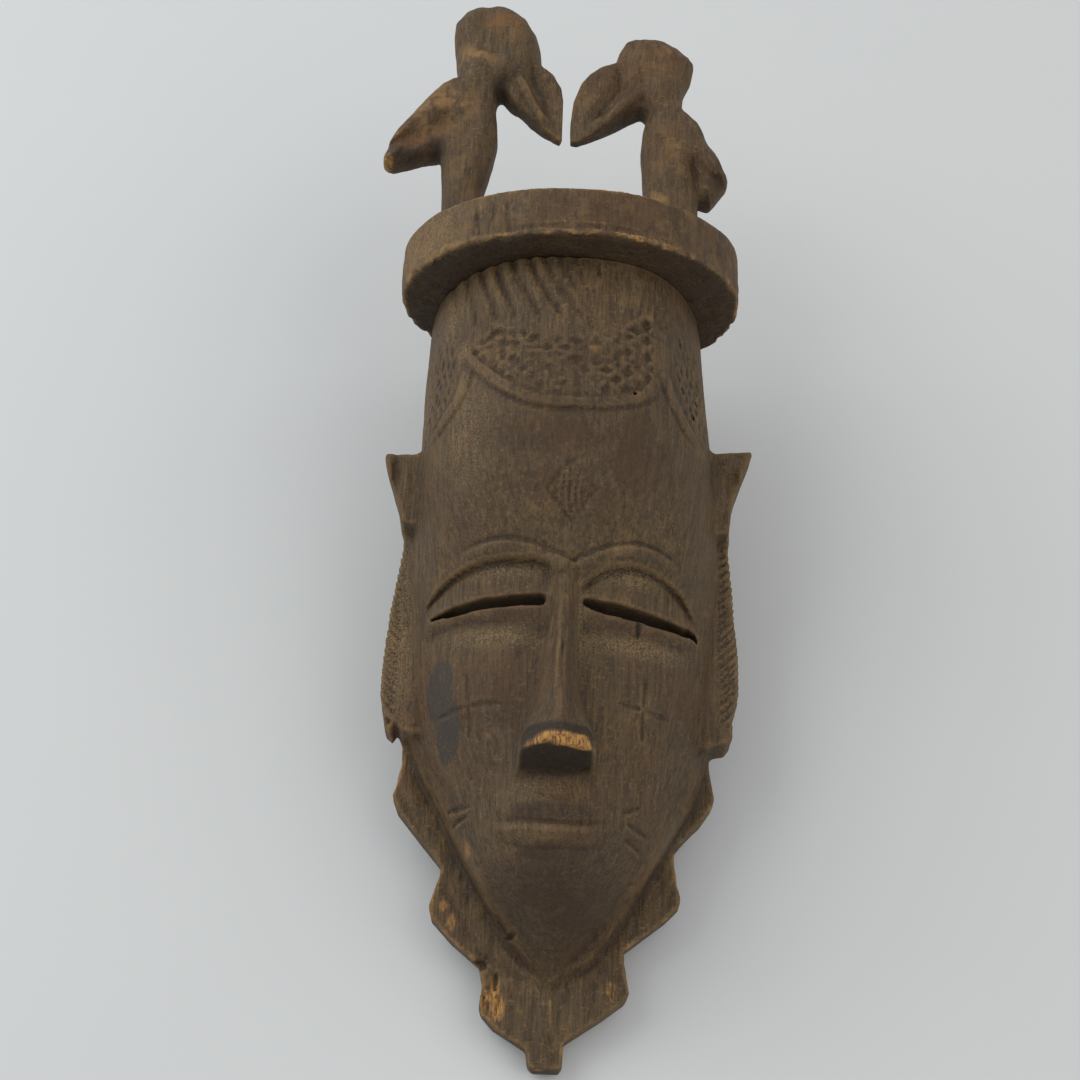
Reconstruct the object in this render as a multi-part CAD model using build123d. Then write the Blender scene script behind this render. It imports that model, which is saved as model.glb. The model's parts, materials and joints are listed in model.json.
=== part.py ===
from build123d import *
import math
import os

# All lengths are millimetres.  While it is being drawn the mask stands on its chin
# tip at z = 0, looks towards -Y and has its flat back on y = 0.  It is moved just
# before export so that the mouth of the hanging hole becomes the origin.

# Heights above the chin tip
crown_seat_z = 276.0
disc_thickness = 18.6
disc_top_z = crown_seat_z + disc_thickness
hanging_hole_z = 252.0

# Hanging hole in the back of the solid hair block
hanging_hole_radius = 3.0
hanging_hole_depth = 14.0

# Crown disc
disc_half_width = 63.8
disc_half_depth = 53.0
disc_centre_y = -40.0
rim_tooth_count = 34
rim_tooth_depth = 1.6

# Carving on the face and hair
nose_underside_slope = 13.8
flute_count = 15

# Wall left around the hollow
wall = 10.0
hollow_bottom_z = 50.0
hollow_top_z = 228.0

# Border behind the cheeks and chin
border_thickness = 9.0

# Glued pegs
peg_fit = 0.05
peg_end_gap = 0.5
crown_peg_radius = 5.0
crown_peg_half_spacing = 30.0
crown_peg_y = -24.0
crown_peg_reach = 12.0
bird_peg_radius = 4.0
bird_peg_reach = 11.0
bird_y = -42.0
bird_left_x = -42.5
bird_right_x = 37.0

# Head cross sections: height, reach to the left, reach to the right, depth, fullness.
# A fullness of 2 is a plain half ellipse and more than 2 is squarer.
head_sections = [
    (22.0, 3.0, 4.0, 8.5, 2.0),
    (32.0, 7.0, 9.0, 18.0, 1.9),
    (45.0, 16.0, 19.0, 34.0, 1.9),
    (60.0, 28.0, 31.0, 50.0, 2.0),
    (76.0, 35.0, 41.0, 54.0, 2.1),
    (95.0, 44.0, 49.0, 54.0, 2.1),
    (118.0, 53.0, 54.5, 55.0, 2.1),
    (145.0, 57.0, 58.5, 56.0, 2.1),
    (165.0, 57.0, 59.0, 61.0, 2.2),
    (188.0, 56.0, 58.5, 71.0, 2.3),
    (210.0, 55.5, 57.0, 77.0, 2.4),
    (232.0, 54.8, 54.6, 79.5, 2.4),
    (254.0, 54.2, 52.6, 79.5, 2.4),
    (crown_seat_z, 53.5, 51.0, 77.5, 2.4),
]


def blend(low, high, share):
    """Value a given share of the way from low to high."""
    return low + (high - low) * share


def head_at(z):
    """Reach left, reach right, depth and fullness of the head at one height."""
    for lower, upper in zip(head_sections, head_sections[1:]):
        if z <= upper[0]:
            share = (z - lower[0]) / (upper[0] - lower[0])
            return [blend(a, b, share) for a, b in zip(lower[1:], upper[1:])]
    return list(head_sections[-1][1:])


def skin_y(x, z):
    """Y of the outer skin of the head at one place on the face."""
    left, right, depth, fullness = head_at(z)
    reach = right if x > 0 else left
    across = min(abs(x) / reach, 0.995)
    return -depth * (1.0 - across**fullness) ** (1.0 / fullness)


def half_round(z, left, right, depth, fullness):
    """Flat-backed cross section of the head."""
    rim = []
    steps = 12
    for step in range(steps + 1):
        turn = math.pi * step / steps
        side = math.cos(turn)
        reach = right if side > 0 else left
        x = math.copysign(abs(side) ** (2.0 / fullness), side) * reach
        y = -depth * abs(math.sin(turn)) ** (2.0 / fullness)
        rim.append((x, y, z))
    rim[0] = (right, 0.0, z)
    rim[-1] = (-left, 0.0, z)
    front = Spline(*rim, tangents=((0, -1, 0), (0, 1, 0)))
    return Face(Wire([front, Line(rim[-1], rim[0])]))


def upright_plate(outline, front_y, back_y):
    """Plate standing upright, cut to an outline of (x, z) corners."""
    face = Plane.XZ.offset(-back_y) * make_face(Polyline(*outline, close=True))
    return extrude(face, amount=back_y - front_y)


def skin_path(points, lift):
    """Smooth curve lying on the skin through a few (x, z) places."""
    return Spline(*[(x, skin_y(x, z) - lift, z) for x, z in points])


def raised_cord(points, radius, lift):
    """Round ridge that follows the skin."""
    path = skin_path(points, lift)
    return sweep(Plane(origin=path @ 0, z_dir=path % 0) * Circle(radius), path=path)


def ridge_wedge(stations):
    """Wedge lofted through flat-topped stations of (z, top half, foot half, top y, foot y)."""
    faces = []
    for z, top_half, foot_half, top_y, foot_y in stations:
        corners = [(-foot_half, foot_y), (foot_half, foot_y), (top_half, top_y), (-top_half, top_y)]
        faces.append(make_face(Polyline(*[(x, y, z) for x, y in corners], close=True)))
    return loft(faces, ruled=True)


def oval_block(x, y, z, half_x, half_y, half_z):
    """Egg shape with three different half lengths."""
    return Pos(x, y, z) * scale(Sphere(1.0), by=(half_x, half_y, half_z))


# ---------- the mask ----------

def build_head():
    return loft([half_round(*section) for section in head_sections])


def build_hollow():
    """Space behind the face, open at the back."""
    lip = 4.0
    cuts = []
    for z in (hollow_bottom_z, 70.0, 95.0, 120.0, 150.0, 180.0, 210.0, hollow_top_z):
        left, right, depth, fullness = head_at(z)
        cuts.append(half_round(z, left - wall, right - wall, depth - wall - lip, fullness))
    inner = loft(cuts)
    mouth_height = hollow_top_z - hollow_bottom_z
    mouth = Pos(0, 0, hollow_bottom_z + mouth_height / 2) * Box(400, 2, mouth_height)
    return inner + (mouth & extrude(inner.faces().sort_by(Axis.Y)[-1], amount=1.0))


def build_border():
    """Scalloped border behind the cheeks and chin."""
    left_edge = [
        (-40, 118), (-55.5, 118), (-54.9, 104.7), (-57.6, 94.0), (-55.5, 88.5), (-46.5, 77.7),
        (-39.0, 69.0), (-40.4, 61.9), (-42.4, 54.8), (-41.5, 50.6), (-34.1, 42.9), (-24.0, 34.7),
        (-22.7, 27.9), (-23.7, 21.1), (-22.9, 18.8), (-19.3, 14.5), (-10.3, 9.2), (-7.2, 7.3),
        (-6.3, 1.7), (-4.8, 0.0),
    ]
    right_edge = [
        (4.2, 0.0), (5.2, 2.1), (5.4, 9.9), (18.2, 18.5), (26.3, 24.5), (27.6, 26.9),
        (26.4, 33.0), (25.2, 41.0), (39.9, 53.1), (44.7, 57.9), (45.0, 60.7), (42.5, 71.9),
        (42.1, 78.0), (51.9, 87.7), (56.1, 94.0), (56.8, 96.6), (55.3, 105.0), (53.5, 118),
        (40, 118),
    ]
    return upright_plate(left_edge + right_edge, -border_thickness, 0.0)


def build_ear_flap(side):
    """Thick flap below each horn, with slanting cuts carved across its front."""
    front_y = -21.0
    back_y = -3.0
    if side < 0:
        outline = [(-50, 196), (-59.2, 193), (-58.6, 182), (-60.3, 171), (-61.8, 159.5),
                   (-62.9, 147.8), (-63.6, 136.4), (-63.7, 128.9), (-62.4, 121.4), (-60.6, 115.2),
                   (-56.2, 112), (-46, 112)]
    else:
        outline = [(50, 196), (60.6, 194), (61.9, 180), (63.3, 160.2), (64.7, 145), (65.1, 133.6),
                   (64.3, 127.9), (62.6, 122.3), (62.3, 115.4), (52.7, 111.6), (46, 111.6)]
    flap = upright_plate(outline, front_y, back_y)
    cut_count = 12
    for step in range(cut_count):
        z = 119.0 + 6.0 * step
        cut = Pos(side * 60.0, front_y - 0.4, z) * Rot(0, side * 32, 0) * Rot(45, 0, 0) * Box(22, 2, 2)
        flap -= cut
    return flap


def build_horn(side):
    """Pointed fin standing out at the temple."""
    if side < 0:
        outline = [(-50, 219.8), (-56.0, 217.8), (-65.8, 217.6), (-66.3, 215.9), (-65.4, 212.6),
                   (-63.0, 205.0), (-60.6, 197.0), (-58.6, 190.0), (-50, 188)]
    else:
        outline = [(50, 223.2), (55.9, 222.2), (68.5, 223.6), (69.3, 222.2), (66.8, 216.0),
                   (63.4, 206.5), (61.2, 198.0), (60.4, 190.0), (50, 188)]
    return upright_plate(outline, -31.0, -17.0)


def build_nose():
    wedge = ridge_wedge([
        (86.0, 3.6, 13.3, -76.0, -44.0),
        (97.0, 3.4, 12.8, -74.0, -44.0),
        (104.0, 2.8, 11.0, -72.4, -46.0),
        (112.0, 2.3, 8.8, -71.0, -46.0),
        (125.0, 2.0, 7.4, -69.0, -48.0),
        (142.0, 2.0, 6.4, -66.2, -50.0),
        (153.0, 2.2, 5.8, -64.8, -52.0),
        (163.0, 2.6, 5.4, -64.4, -54.0),
        (174.0, 3.0, 5.2, -65.0, -56.0),
    ])
    under = Pos(0, -78.0, 97.1) * Rot(-nose_underside_slope, 0, 0) * Pos(0, 10, -15) * Box(60, 80, 30)
    return wedge - under


def build_brow(side):
    """Curved brow band over one eye, and the fold of the lid just under it."""
    if side < 0:
        band = [(-2.5, 161.6), (-10.0, 165.8), (-20.0, 168.4), (-29.0, 168.2), (-37.0, 165.2),
                (-44.0, 159.6), (-48.0, 153.4)]
        fold = [(-9.0, 160.4), (-19.0, 162.4), (-28.0, 162.0), (-36.0, 160.0), (-44.0, 154.4)]
    else:
        band = [(3.2, 161.4), (10.5, 165.2), (20.0, 168.2), (30.0, 168.6), (38.0, 165.8),
                (45.0, 160.2), (49.4, 152.6)]
        fold = [(10.5, 157.4), (18.0, 160.4), (27.0, 161.6), (36.0, 159.2), (45.0, 153.4)]
    return raised_cord(band, 3.4, 0.9) + raised_cord(fold, 1.8, 0.4)


def build_eyelid(side):
    """Edges of the lids above and below one slit."""
    if side < 0:
        lower = [(-7.0, 144.8), (-16.3, 145.4), (-25.0, 146.0), (-34.0, 146.6), (-44.5, 147.2)]
        upper = [(-7.4, 155.6), (-15.0, 156.0), (-23.0, 156.2), (-31.0, 156.0), (-40.0, 154.8)]
    else:
        lower = [(6.5, 144.6), (14.0, 143.8), (22.5, 143.2), (31.3, 143.0), (40.4, 143.0),
                 (48.0, 144.0)]
        upper = [(9.0, 155.4), (16.0, 154.8), (25.0, 154.2), (35.0, 153.6), (44.0, 153.2)]
    return raised_cord(lower, 2.0, 0.5) + raised_cord(upper, 1.5, 0.2)


def build_eye_slit(side):
    """Narrow slit cut right through to the hollow."""
    if side < 0:
        slit = [(-7.4, 149.9), (-15.0, 150.2), (-22.8, 150.2), (-31.0, 150.1), (-38.6, 149.8),
                (-45.8, 150.4), (-45.8, 151.2), (-38.6, 152.6), (-31.0, 153.6), (-22.8, 154.0),
                (-15.0, 153.8), (-7.4, 153.5)]
    else:
        slit = [(8.6, 149.6), (16.1, 148.8), (24.9, 148.2), (34.7, 148.2), (47.2, 149.6),
                (47.2, 151.0), (34.7, 151.2), (24.9, 151.2), (16.1, 151.8), (8.6, 152.8)]
    return upright_plate(slit, -90.0, -30.0)


def build_lips():
    upper = [(-18.0, 77.6), (-9.0, 78.8), (-3.6, 79.6), (4.6, 79.2), (19.0, 77.2)]
    lower = [(-19.0, 73.0), (-10.0, 70.8), (0.0, 69.8), (9.5, 70.4), (20.0, 73.0)]
    return raised_cord(upper, 3.2, 1.6) + raised_cord(lower, 3.4, 1.5)


def build_mouth_cut():
    cut = [(-24.0, 76.6), (-14.2, 74.6), (-4.0, 73.8), (3.0, 73.4), (12.1, 73.8), (25.0, 76.2),
           (12.1, 75.0), (3.0, 74.8), (-4.0, 75.2), (-14.2, 75.8)]
    return upright_plate(cut, -70.0, skin_y(0, 74.0) + 1.5)


def build_hair_ridges():
    """Double cord where the hair meets the forehead, and the lines down to the temples."""
    outer = [(-37.0, 243.4), (-33.0, 236.4), (-27.4, 229.8), (-21.0, 224.4), (-13.0, 219.8),
             (-2.6, 216.8), (7.8, 216.2), (18.0, 218.4), (27.0, 222.8), (33.0, 229.6)]
    inner = [(-30.7, 238.2), (-24.1, 231.6), (-16.0, 226.8), (-6.3, 223.6), (4.2, 222.0),
             (15.5, 222.6), (25.2, 227.2), (31.4, 234.0)]
    temple_left = [(-34.6, 236.4), (-36.6, 227.5), (-39.9, 219.8), (-44.3, 214.2), (-49.0, 209.4)]
    temple_right = [(33.6, 232.0), (37.1, 222.9), (41.1, 215.5), (47.1, 208.5), (52.0, 204.6)]
    ridges = raised_cord(outer, 1.8, 0.6) + raised_cord(inner, 1.6, 0.6)
    return ridges + raised_cord(temple_left, 1.8, 0.6) + raised_cord(temple_right, 1.8, 0.6)


def build_hair_flutes():
    """Grooves in the hair below the disc, drawing together a little as they run down."""
    flutes = []
    for step in range(flute_count):
        top_x = blend(-44.0, 42.0, step / (flute_count - 1))
        foot_x = 2.2 + 0.86 * top_x
        foot_z = 251.0 if abs(top_x) < 30 else 240.0
        foot = (foot_x, skin_y(foot_x, foot_z) - 0.9, foot_z)
        path = Line(foot, (top_x, skin_y(top_x, crown_seat_z) - 0.2, crown_seat_z + 1))
        flutes.append(sweep(Plane(origin=path @ 0, z_dir=path % 0) * Circle(1.4), path=path))
    return flutes


def build_cheek_crosses():
    """Small crossed cuts on each cheek."""
    cuts = []
    for x, z in ((-30.8, 114.6), (28.5, 114.6)):
        y = skin_y(x, z)
        turn = math.degrees(math.atan2(skin_y(x + 2, z) - skin_y(x - 2, z), 4.0))
        for length, height in ((17.0, 1.6), (1.6, 18.0)):
            cuts.append(Pos(x, y, z) * Rot(0, 0, turn) * Box(length, 2.6, height))
    return cuts


def build_forehead_mark():
    """Lozenge scored into the middle of the forehead, one groove for each side."""
    corners = [(1.4, 197.5), (8.8, 187.0), (1.9, 176.3), (-6.6, 186.8)]
    grooves = []
    for (start_x, start_z), (end_x, end_z) in zip(corners, corners[1:] + corners[:1]):
        start = (start_x, skin_y(start_x, start_z), start_z)
        path = Line(start, (end_x, skin_y(end_x, end_z), end_z))
        grooves.append(sweep(Plane(origin=path @ 0, z_dir=path % 0) * Circle(1.1), path=path))
    return grooves


def build_mask_body():
    body = build_head() + build_border()
    for side in (-1, 1):
        body += build_ear_flap(side)
        body += build_horn(side)
    for side in (-1, 1):
        body += build_brow(side)
        body += build_eyelid(side)
    body += build_nose()
    body += build_lips()
    body += build_hair_ridges()
    body -= build_hollow()
    body -= [build_eye_slit(-1), build_eye_slit(1), build_mouth_cut()]
    body -= build_hair_flutes()
    body -= build_cheek_crosses()
    body -= build_forehead_mark()
    return body


def bore_for_pegs(piece, places, radius, low_z, high_z):
    """Blind upright peg holes at a few (x, y) places."""
    for x, y in places:
        middle = Pos(x, y, (low_z + high_z) / 2)
        piece -= middle * Cylinder(radius + peg_fit, high_z - low_z)
    return piece


# ---------- the crown ----------

def rim_place(turn):
    """Point on the disc's rim and the direction it faces, for an angle round the front."""
    x = disc_half_width * math.cos(turn)
    y = disc_centre_y - disc_half_depth * math.sin(turn)
    facing = math.degrees(math.atan2(-math.sin(turn) / disc_half_depth, math.cos(turn) / disc_half_width))
    return x, y, facing


def build_crown_disc():
    plan = Pos(0, disc_centre_y) * Ellipse(disc_half_width, disc_half_depth)
    behind_wall = Pos(0, 50) * Rectangle(200, 100)
    disc = Pos(0, 0, crown_seat_z) * extrude(plan - behind_wall, amount=disc_thickness)
    notches = []
    for step in range(rim_tooth_count):
        for edge_z, shift in ((disc_top_z, 0.0), (crown_seat_z, 0.5)):
            turn = blend(-0.38, math.pi + 0.38, (step + shift) / rim_tooth_count)
            x, y, facing = rim_place(turn)
            tooth = Box(2 * rim_tooth_depth, 7.2, 7.2)
            notches.append(Pos(x, y, edge_z) * Rot(0, 0, facing) * Rot(45, 0, 0) * tooth)
    disc -= notches
    return disc


def build_trunk(stations):
    """Foot, breast and neck of a bird, from (z, back x, breast x, half thickness)."""
    faces = []
    for z, low_x, high_x, half_y in stations:
        middle = Plane(origin=((low_x + high_x) / 2, bird_y, z), z_dir=(0, 0, 1))
        faces.append(middle * Ellipse(abs(high_x - low_x) / 2, half_y))
    return loft(faces)


def build_slab(outline, half_thickness, taper):
    """Flat shape with sides that slope towards a thinner edge."""
    face = Plane.XZ.offset(-bird_y) * make_face(Polyline(*outline, close=True))
    return extrude(face, amount=half_thickness, both=True, taper=taper)


def build_bird(trunk, skull, beak, tail, wing):
    bird = build_trunk(trunk)
    skull_x, skull_z, skull_half_x, skull_half_z = skull
    bird += oval_block(skull_x, bird_y, skull_z, skull_half_x, 10.8, skull_half_z)
    bird += build_slab(beak, 7.0, 22.0)
    bird += build_slab(tail, 6.5, 22.0)
    bird += build_slab(wing, 10.6, 18.0)
    return bird


def build_bird_left():
    trunk = [(disc_top_z, -50.2, -35.4, 9.6), (312, -50.4, -35.2, 9.4), (330, -51.4, -33.0, 10.0),
             (348, -52.0, -30.2, 11.0), (366, -51.0, -30.6, 10.4), (388, -45.6, -29.0, 9.6)]
    skull = (-32.0, 393.0, 17.2, 17.6)
    beak = [(-30.4, 368.2), (-24.8, 363.0), (-18.2, 357.0), (-9.4, 350.2), (-6.1, 347.5),
            (-5.2, 350.0), (-5.2, 365.8), (-5.8, 371.5), (-9.5, 376.6), (-14.0, 381.8),
            (-24.0, 388.0), (-34.0, 386.0)]
    tail = [(-44.0, 374.0), (-48.8, 370.0), (-59.0, 358.0), (-65.3, 350.0), (-70.8, 342.2),
            (-74.0, 336.9), (-74.0, 334.6), (-70.0, 332.9), (-62.0, 335.6), (-52.3, 338.4),
            (-44.0, 341.0), (-38.0, 352.0)]
    wing = [(-40.0, 376.0), (-48.8, 372.4), (-52.7, 369.2), (-59.7, 361.0), (-65.7, 352.0),
            (-69.0, 345.4), (-62.2, 345.4), (-56.3, 348.6), (-46.0, 355.0), (-38.0, 358.6),
            (-32.0, 361.0), (-31.0, 370.0)]
    return build_bird(trunk, skull, beak, tail, wing)


def build_bird_right():
    trunk = [(disc_top_z, 26.8, 47.5, 9.6), (312, 26.8, 47.4, 9.4), (326, 26.5, 47.0, 10.0),
             (345, 25.6, 47.4, 11.0), (358, 27.2, 43.4, 10.4), (378, 25.0, 40.4, 9.6)]
    skull = (30.4, 380.4, 15.4, 15.4)
    beak = [(29.0, 361.0), (24.9, 361.4), (18.7, 359.3), (10.1, 353.3), (4.0, 349.1),
            (0.5, 347.1), (-2.2, 347.3), (-2.2, 354.7), (-1.2, 365.1), (1.6, 372.9),
            (4.6, 377.2), (8.5, 380.7), (14.5, 383.5), (24.0, 386.0), (32.0, 378.0)]
    tail = [(40.0, 360.0), (48.0, 350.0), (53.4, 340.0), (59.0, 331.3), (58.8, 329.5),
            (56.5, 325.8), (52.6, 320.7), (47.2, 321.8), (45.0, 330.0), (40.0, 345.0)]
    wing = [(38.0, 367.0), (40.6, 363.0), (44.9, 358.2), (49.6, 350.1), (54.2, 340.2),
            (58.2, 332.4), (52.0, 330.6), (45.4, 336.6), (34.6, 341.0), (30.0, 345.5),
            (28.6, 352.0), (30.0, 361.0)]
    return build_bird(trunk, skull, beak, tail, wing)


def build_peg(x, y, radius, seat_z, reach_down, reach_up):
    """Plain round peg that stops just short of both blind ends."""
    low_z = seat_z - reach_down + peg_end_gap
    high_z = seat_z + reach_up - peg_end_gap
    return Pos(x, y, (low_z + high_z) / 2) * Cylinder(radius, high_z - low_z)


# ---------- putting it together ----------

crown_peg_places = [(-crown_peg_half_spacing, crown_peg_y), (crown_peg_half_spacing, crown_peg_y)]
bird_peg_places = [(bird_left_x, bird_y), (bird_right_x, bird_y)]

mask_body = build_mask_body()
mask_body = bore_for_pegs(
    mask_body, crown_peg_places, crown_peg_radius, crown_seat_z - crown_peg_reach, crown_seat_z + 1
)
hanging_hole = Pos(0, -hanging_hole_depth / 2, hanging_hole_z) * Rot(90, 0, 0)
mask_body -= hanging_hole * Cylinder(hanging_hole_radius, hanging_hole_depth)

crown_disc = build_crown_disc()
crown_disc = bore_for_pegs(
    crown_disc, crown_peg_places, crown_peg_radius, crown_seat_z - 1, crown_seat_z + crown_peg_reach
)
crown_disc = bore_for_pegs(
    crown_disc, bird_peg_places, bird_peg_radius, disc_top_z - bird_peg_reach, disc_top_z + 1
)

bird_left = bore_for_pegs(
    build_bird_left(), bird_peg_places[:1], bird_peg_radius, disc_top_z - 1, disc_top_z + bird_peg_reach
)
bird_right = bore_for_pegs(
    build_bird_right(), bird_peg_places[1:], bird_peg_radius, disc_top_z - 1, disc_top_z + bird_peg_reach
)

pieces = {
    "mask_body": mask_body,
    "crown_disc": crown_disc,
    "bird_left": bird_left,
    "bird_right": bird_right,
    "crown_dowel_left": build_peg(
        *crown_peg_places[0], crown_peg_radius, crown_seat_z, crown_peg_reach, crown_peg_reach
    ),
    "crown_dowel_right": build_peg(
        *crown_peg_places[1], crown_peg_radius, crown_seat_z, crown_peg_reach, crown_peg_reach
    ),
    "bird_left_dowel": build_peg(
        *bird_peg_places[0], bird_peg_radius, disc_top_z, bird_peg_reach, bird_peg_reach
    ),
    "bird_right_dowel": build_peg(
        *bird_peg_places[1], bird_peg_radius, disc_top_z, bird_peg_reach, bird_peg_reach
    ),
}

os.makedirs("parts", exist_ok=True)
for name, piece in pieces.items():
    export_step(Pos(0, 0, -hanging_hole_z) * piece, f"parts/{name}.step")
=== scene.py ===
import json
import math

import bpy
import numpy as np
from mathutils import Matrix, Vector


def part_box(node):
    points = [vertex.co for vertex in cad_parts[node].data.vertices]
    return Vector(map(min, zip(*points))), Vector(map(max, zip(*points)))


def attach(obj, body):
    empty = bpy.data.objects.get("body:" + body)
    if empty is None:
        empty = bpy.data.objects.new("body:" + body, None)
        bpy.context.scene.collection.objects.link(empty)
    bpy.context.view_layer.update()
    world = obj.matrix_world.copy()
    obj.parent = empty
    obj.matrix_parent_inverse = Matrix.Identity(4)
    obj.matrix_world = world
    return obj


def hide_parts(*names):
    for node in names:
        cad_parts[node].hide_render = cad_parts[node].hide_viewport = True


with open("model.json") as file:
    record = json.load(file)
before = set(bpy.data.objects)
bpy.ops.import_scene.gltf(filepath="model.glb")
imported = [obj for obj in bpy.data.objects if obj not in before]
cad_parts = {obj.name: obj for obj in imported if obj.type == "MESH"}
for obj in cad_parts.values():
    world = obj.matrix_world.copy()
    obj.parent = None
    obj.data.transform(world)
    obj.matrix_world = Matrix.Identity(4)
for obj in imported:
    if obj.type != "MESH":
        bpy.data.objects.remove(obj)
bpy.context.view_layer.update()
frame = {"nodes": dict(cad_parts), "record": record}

import openvdb
from mathutils import Matrix, Vector

# Every carving below is worked out in "mask millimetres": x to the viewer's right, y into
# the wall with the flat back on y = 0, and z up from the chin tip.  metres() moves a
# carving into the shared frame.

chin_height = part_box("mask_body")[0].z
disc_bottom = (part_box("crown_disc")[0].z - chin_height) * 1000.0
disc_top = (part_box("crown_disc")[1].z - chin_height) * 1000.0

MASK_STEP = 0.7
CROWN_STEP = 0.6
BIRD_STEP = 0.5


def metres(points):
    """Mask millimetres to metres in the shared frame."""
    return points * 0.001 + np.array([0.0, 0.0, chin_height])


# ---- grids and noise

class Block:
    """Evenly spaced sample points over a box, in mask millimetres."""

    def __init__(self, low, high, step):
        self.low = np.array(low, dtype=float)
        self.step = step
        self.counts = [int(math.ceil((b - a) / step)) + 1 for a, b in zip(low, high)]
        axes = [
            (a + step * np.arange(n)).astype(np.float32) for a, n in zip(low, self.counts)
        ]
        self.x = axes[0][:, None, None]
        self.y = axes[1][None, :, None]
        self.z = axes[2][None, None, :]
        self.flat_x = axes[0][:, None]
        self.flat_z = axes[2][None, :]


def spread(length, start, step, cell):
    """Weights that turn coarse random values into a smooth line of samples."""
    place = (start + step * np.arange(length)) / cell
    place = place - math.floor(place[0])
    count = int(math.floor(place[-1])) + 3
    left = np.floor(place).astype(int)
    share = place - left
    share = share * share * (3.0 - 2.0 * share)
    weights = np.zeros((length, count), dtype=np.float32)
    rows = np.arange(length)
    weights[rows, left] = 1.0 - share
    weights[rows, left + 1] += share
    return weights


def noise_3d(block, cell, seed):
    """Smooth random field between -1 and 1, with a cell size for each axis."""
    wx, wy, wz = (
        spread(n, a, block.step, c) for n, a, c in zip(block.counts, block.low, cell)
    )
    values = np.random.default_rng(seed).uniform(-1, 1, (wx.shape[1], wy.shape[1], wz.shape[1]))
    field = np.tensordot(wx, values.astype(np.float32), axes=(1, 0))
    field = np.tensordot(field, wz, axes=(2, 1))
    return np.ascontiguousarray(np.tensordot(field, wy, axes=(1, 1)).transpose(0, 2, 1))


def noise_2d(rows, columns, step, cell, seed):
    """Smooth random sheet between -1 and 1."""
    wr = spread(rows, 0.0, step, cell[0])
    wc = spread(columns, 0.0, step, cell[1])
    values = np.random.default_rng(seed).uniform(-1, 1, (wr.shape[1], wc.shape[1]))
    return (wr @ values.astype(np.float32) @ wc.T).astype(np.float32)


def box_blur(field, radius):
    """Mean over a cube of cells, for telling edges from hollows."""
    width = 2 * radius + 1
    for axis in range(3):
        padding = [(0, 0)] * 3
        padding[axis] = (radius + 1, radius)
        total = np.cumsum(np.pad(field, padding, mode="edge"), axis=axis, dtype=np.float32)
        upper = np.take(total, range(width, total.shape[axis]), axis=axis)
        lower = np.take(total, range(0, total.shape[axis] - width), axis=axis)
        field = (upper - lower) / width
    return field


# ---- shapes

def smooth_curve(points, per_span=8):
    """Closely spaced points on a smooth curve through a few (a, b) points."""
    p = np.array(points, dtype=float)
    p = np.vstack([2 * p[0] - p[1], p, 2 * p[-1] - p[-2]])
    out = []
    for a, b, c, d in zip(p[:-3], p[1:-2], p[2:-1], p[3:]):
        for step in range(per_span):
            t = step / per_span
            out.append(
                0.5 * (2 * b + (c - a) * t + (2 * a - 5 * b + 4 * c - d) * t**2
                       + (3 * b - a - 3 * c + d) * t**3)
            )
    out.append(p[-2])
    return np.array(out)


def height_table(points, z):
    """Smooth value for every z from a few (z, value) points."""
    curve = smooth_curve(points)
    return np.interp(z, curve[:, 0], curve[:, 1]).astype(np.float32)


def line_height(points, u, **ends):
    """Height of a smooth curve above every x."""
    curve = smooth_curve(points)
    return np.interp(u[:, 0], curve[:, 0], curve[:, 1], **ends)[:, None]


def away_from(u, v, points, reach=14.0, straight=False):
    """Distance of every (u, v) from a curve, and how far along it the nearest place is."""
    curve = np.array(points, dtype=float) if straight else smooth_curve(points)
    distance = np.full(np.broadcast(u, v).shape, reach, dtype=np.float32)
    along = np.zeros_like(distance)
    low, high = curve.min(axis=0) - reach, curve.max(axis=0) + reach
    rows = np.where((u[:, 0] > low[0]) & (u[:, 0] < high[0]))[0]
    columns = np.where((v[0] > low[1]) & (v[0] < high[1]))[0]
    if len(rows) == 0 or len(columns) == 0:
        return distance, along
    window = (slice(rows[0], rows[-1] + 1), slice(columns[0], columns[-1] + 1))
    part_u, part_v = u[rows[0]:rows[-1] + 1], v[:, columns[0]:columns[-1] + 1]
    near, where = distance[window], along[window]
    spans = len(curve) - 1
    for index, (a, b) in enumerate(zip(curve[:-1], curve[1:])):
        span = b - a
        size = max(float(span @ span), 1e-9)
        t = np.clip(((part_u - a[0]) * span[0] + (part_v - a[1]) * span[1]) / size, 0.0, 1.0)
        d = np.hypot(part_u - a[0] - t * span[0], part_v - a[1] - t * span[1])
        closer = d < near
        near[closer] = d[closer]
        where[closer] = ((index + t) / spans)[closer]
    return distance, along


def inside_outline(u, v, outline):
    """Signed distance from a closed outline, negative inside it."""
    corners = np.array(outline, dtype=float)
    closed = np.vstack([corners, corners[:1]])
    distance, _ = away_from(u, v, closed, reach=40.0, straight=True)
    inside = np.zeros(distance.shape, dtype=bool)
    for (ax, ay), (bx, by) in zip(closed[:-1], closed[1:]):
        if ay == by:
            continue
        crosses = (v > min(ay, by)) & (v <= max(ay, by))
        inside ^= crosses & (u < ax + (v - ay) * (bx - ax) / (by - ay))
    return np.where(inside, -distance, distance).astype(np.float32)


def ease(value, start, end):
    """0 before start, 1 after end and smooth between."""
    t = np.clip((value - start) / (end - start), 0, 1)
    return t * t * (3 - 2 * t)


def fade(value, start, end):
    """1 before start, 0 after end and smooth between."""
    return 1 - ease(value, start, end)


def band(value, start, full, wane, end):
    """1 from full to wane, 0 outside start and end."""
    return ease(value, start, full) * fade(value, wane, end)


def hump(distance, half_width):
    """Rounded ridge, 1 on the line and 0 at half_width."""
    return np.clip(1.0 - (distance / half_width) ** 2, 0.0, 1.0)


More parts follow.
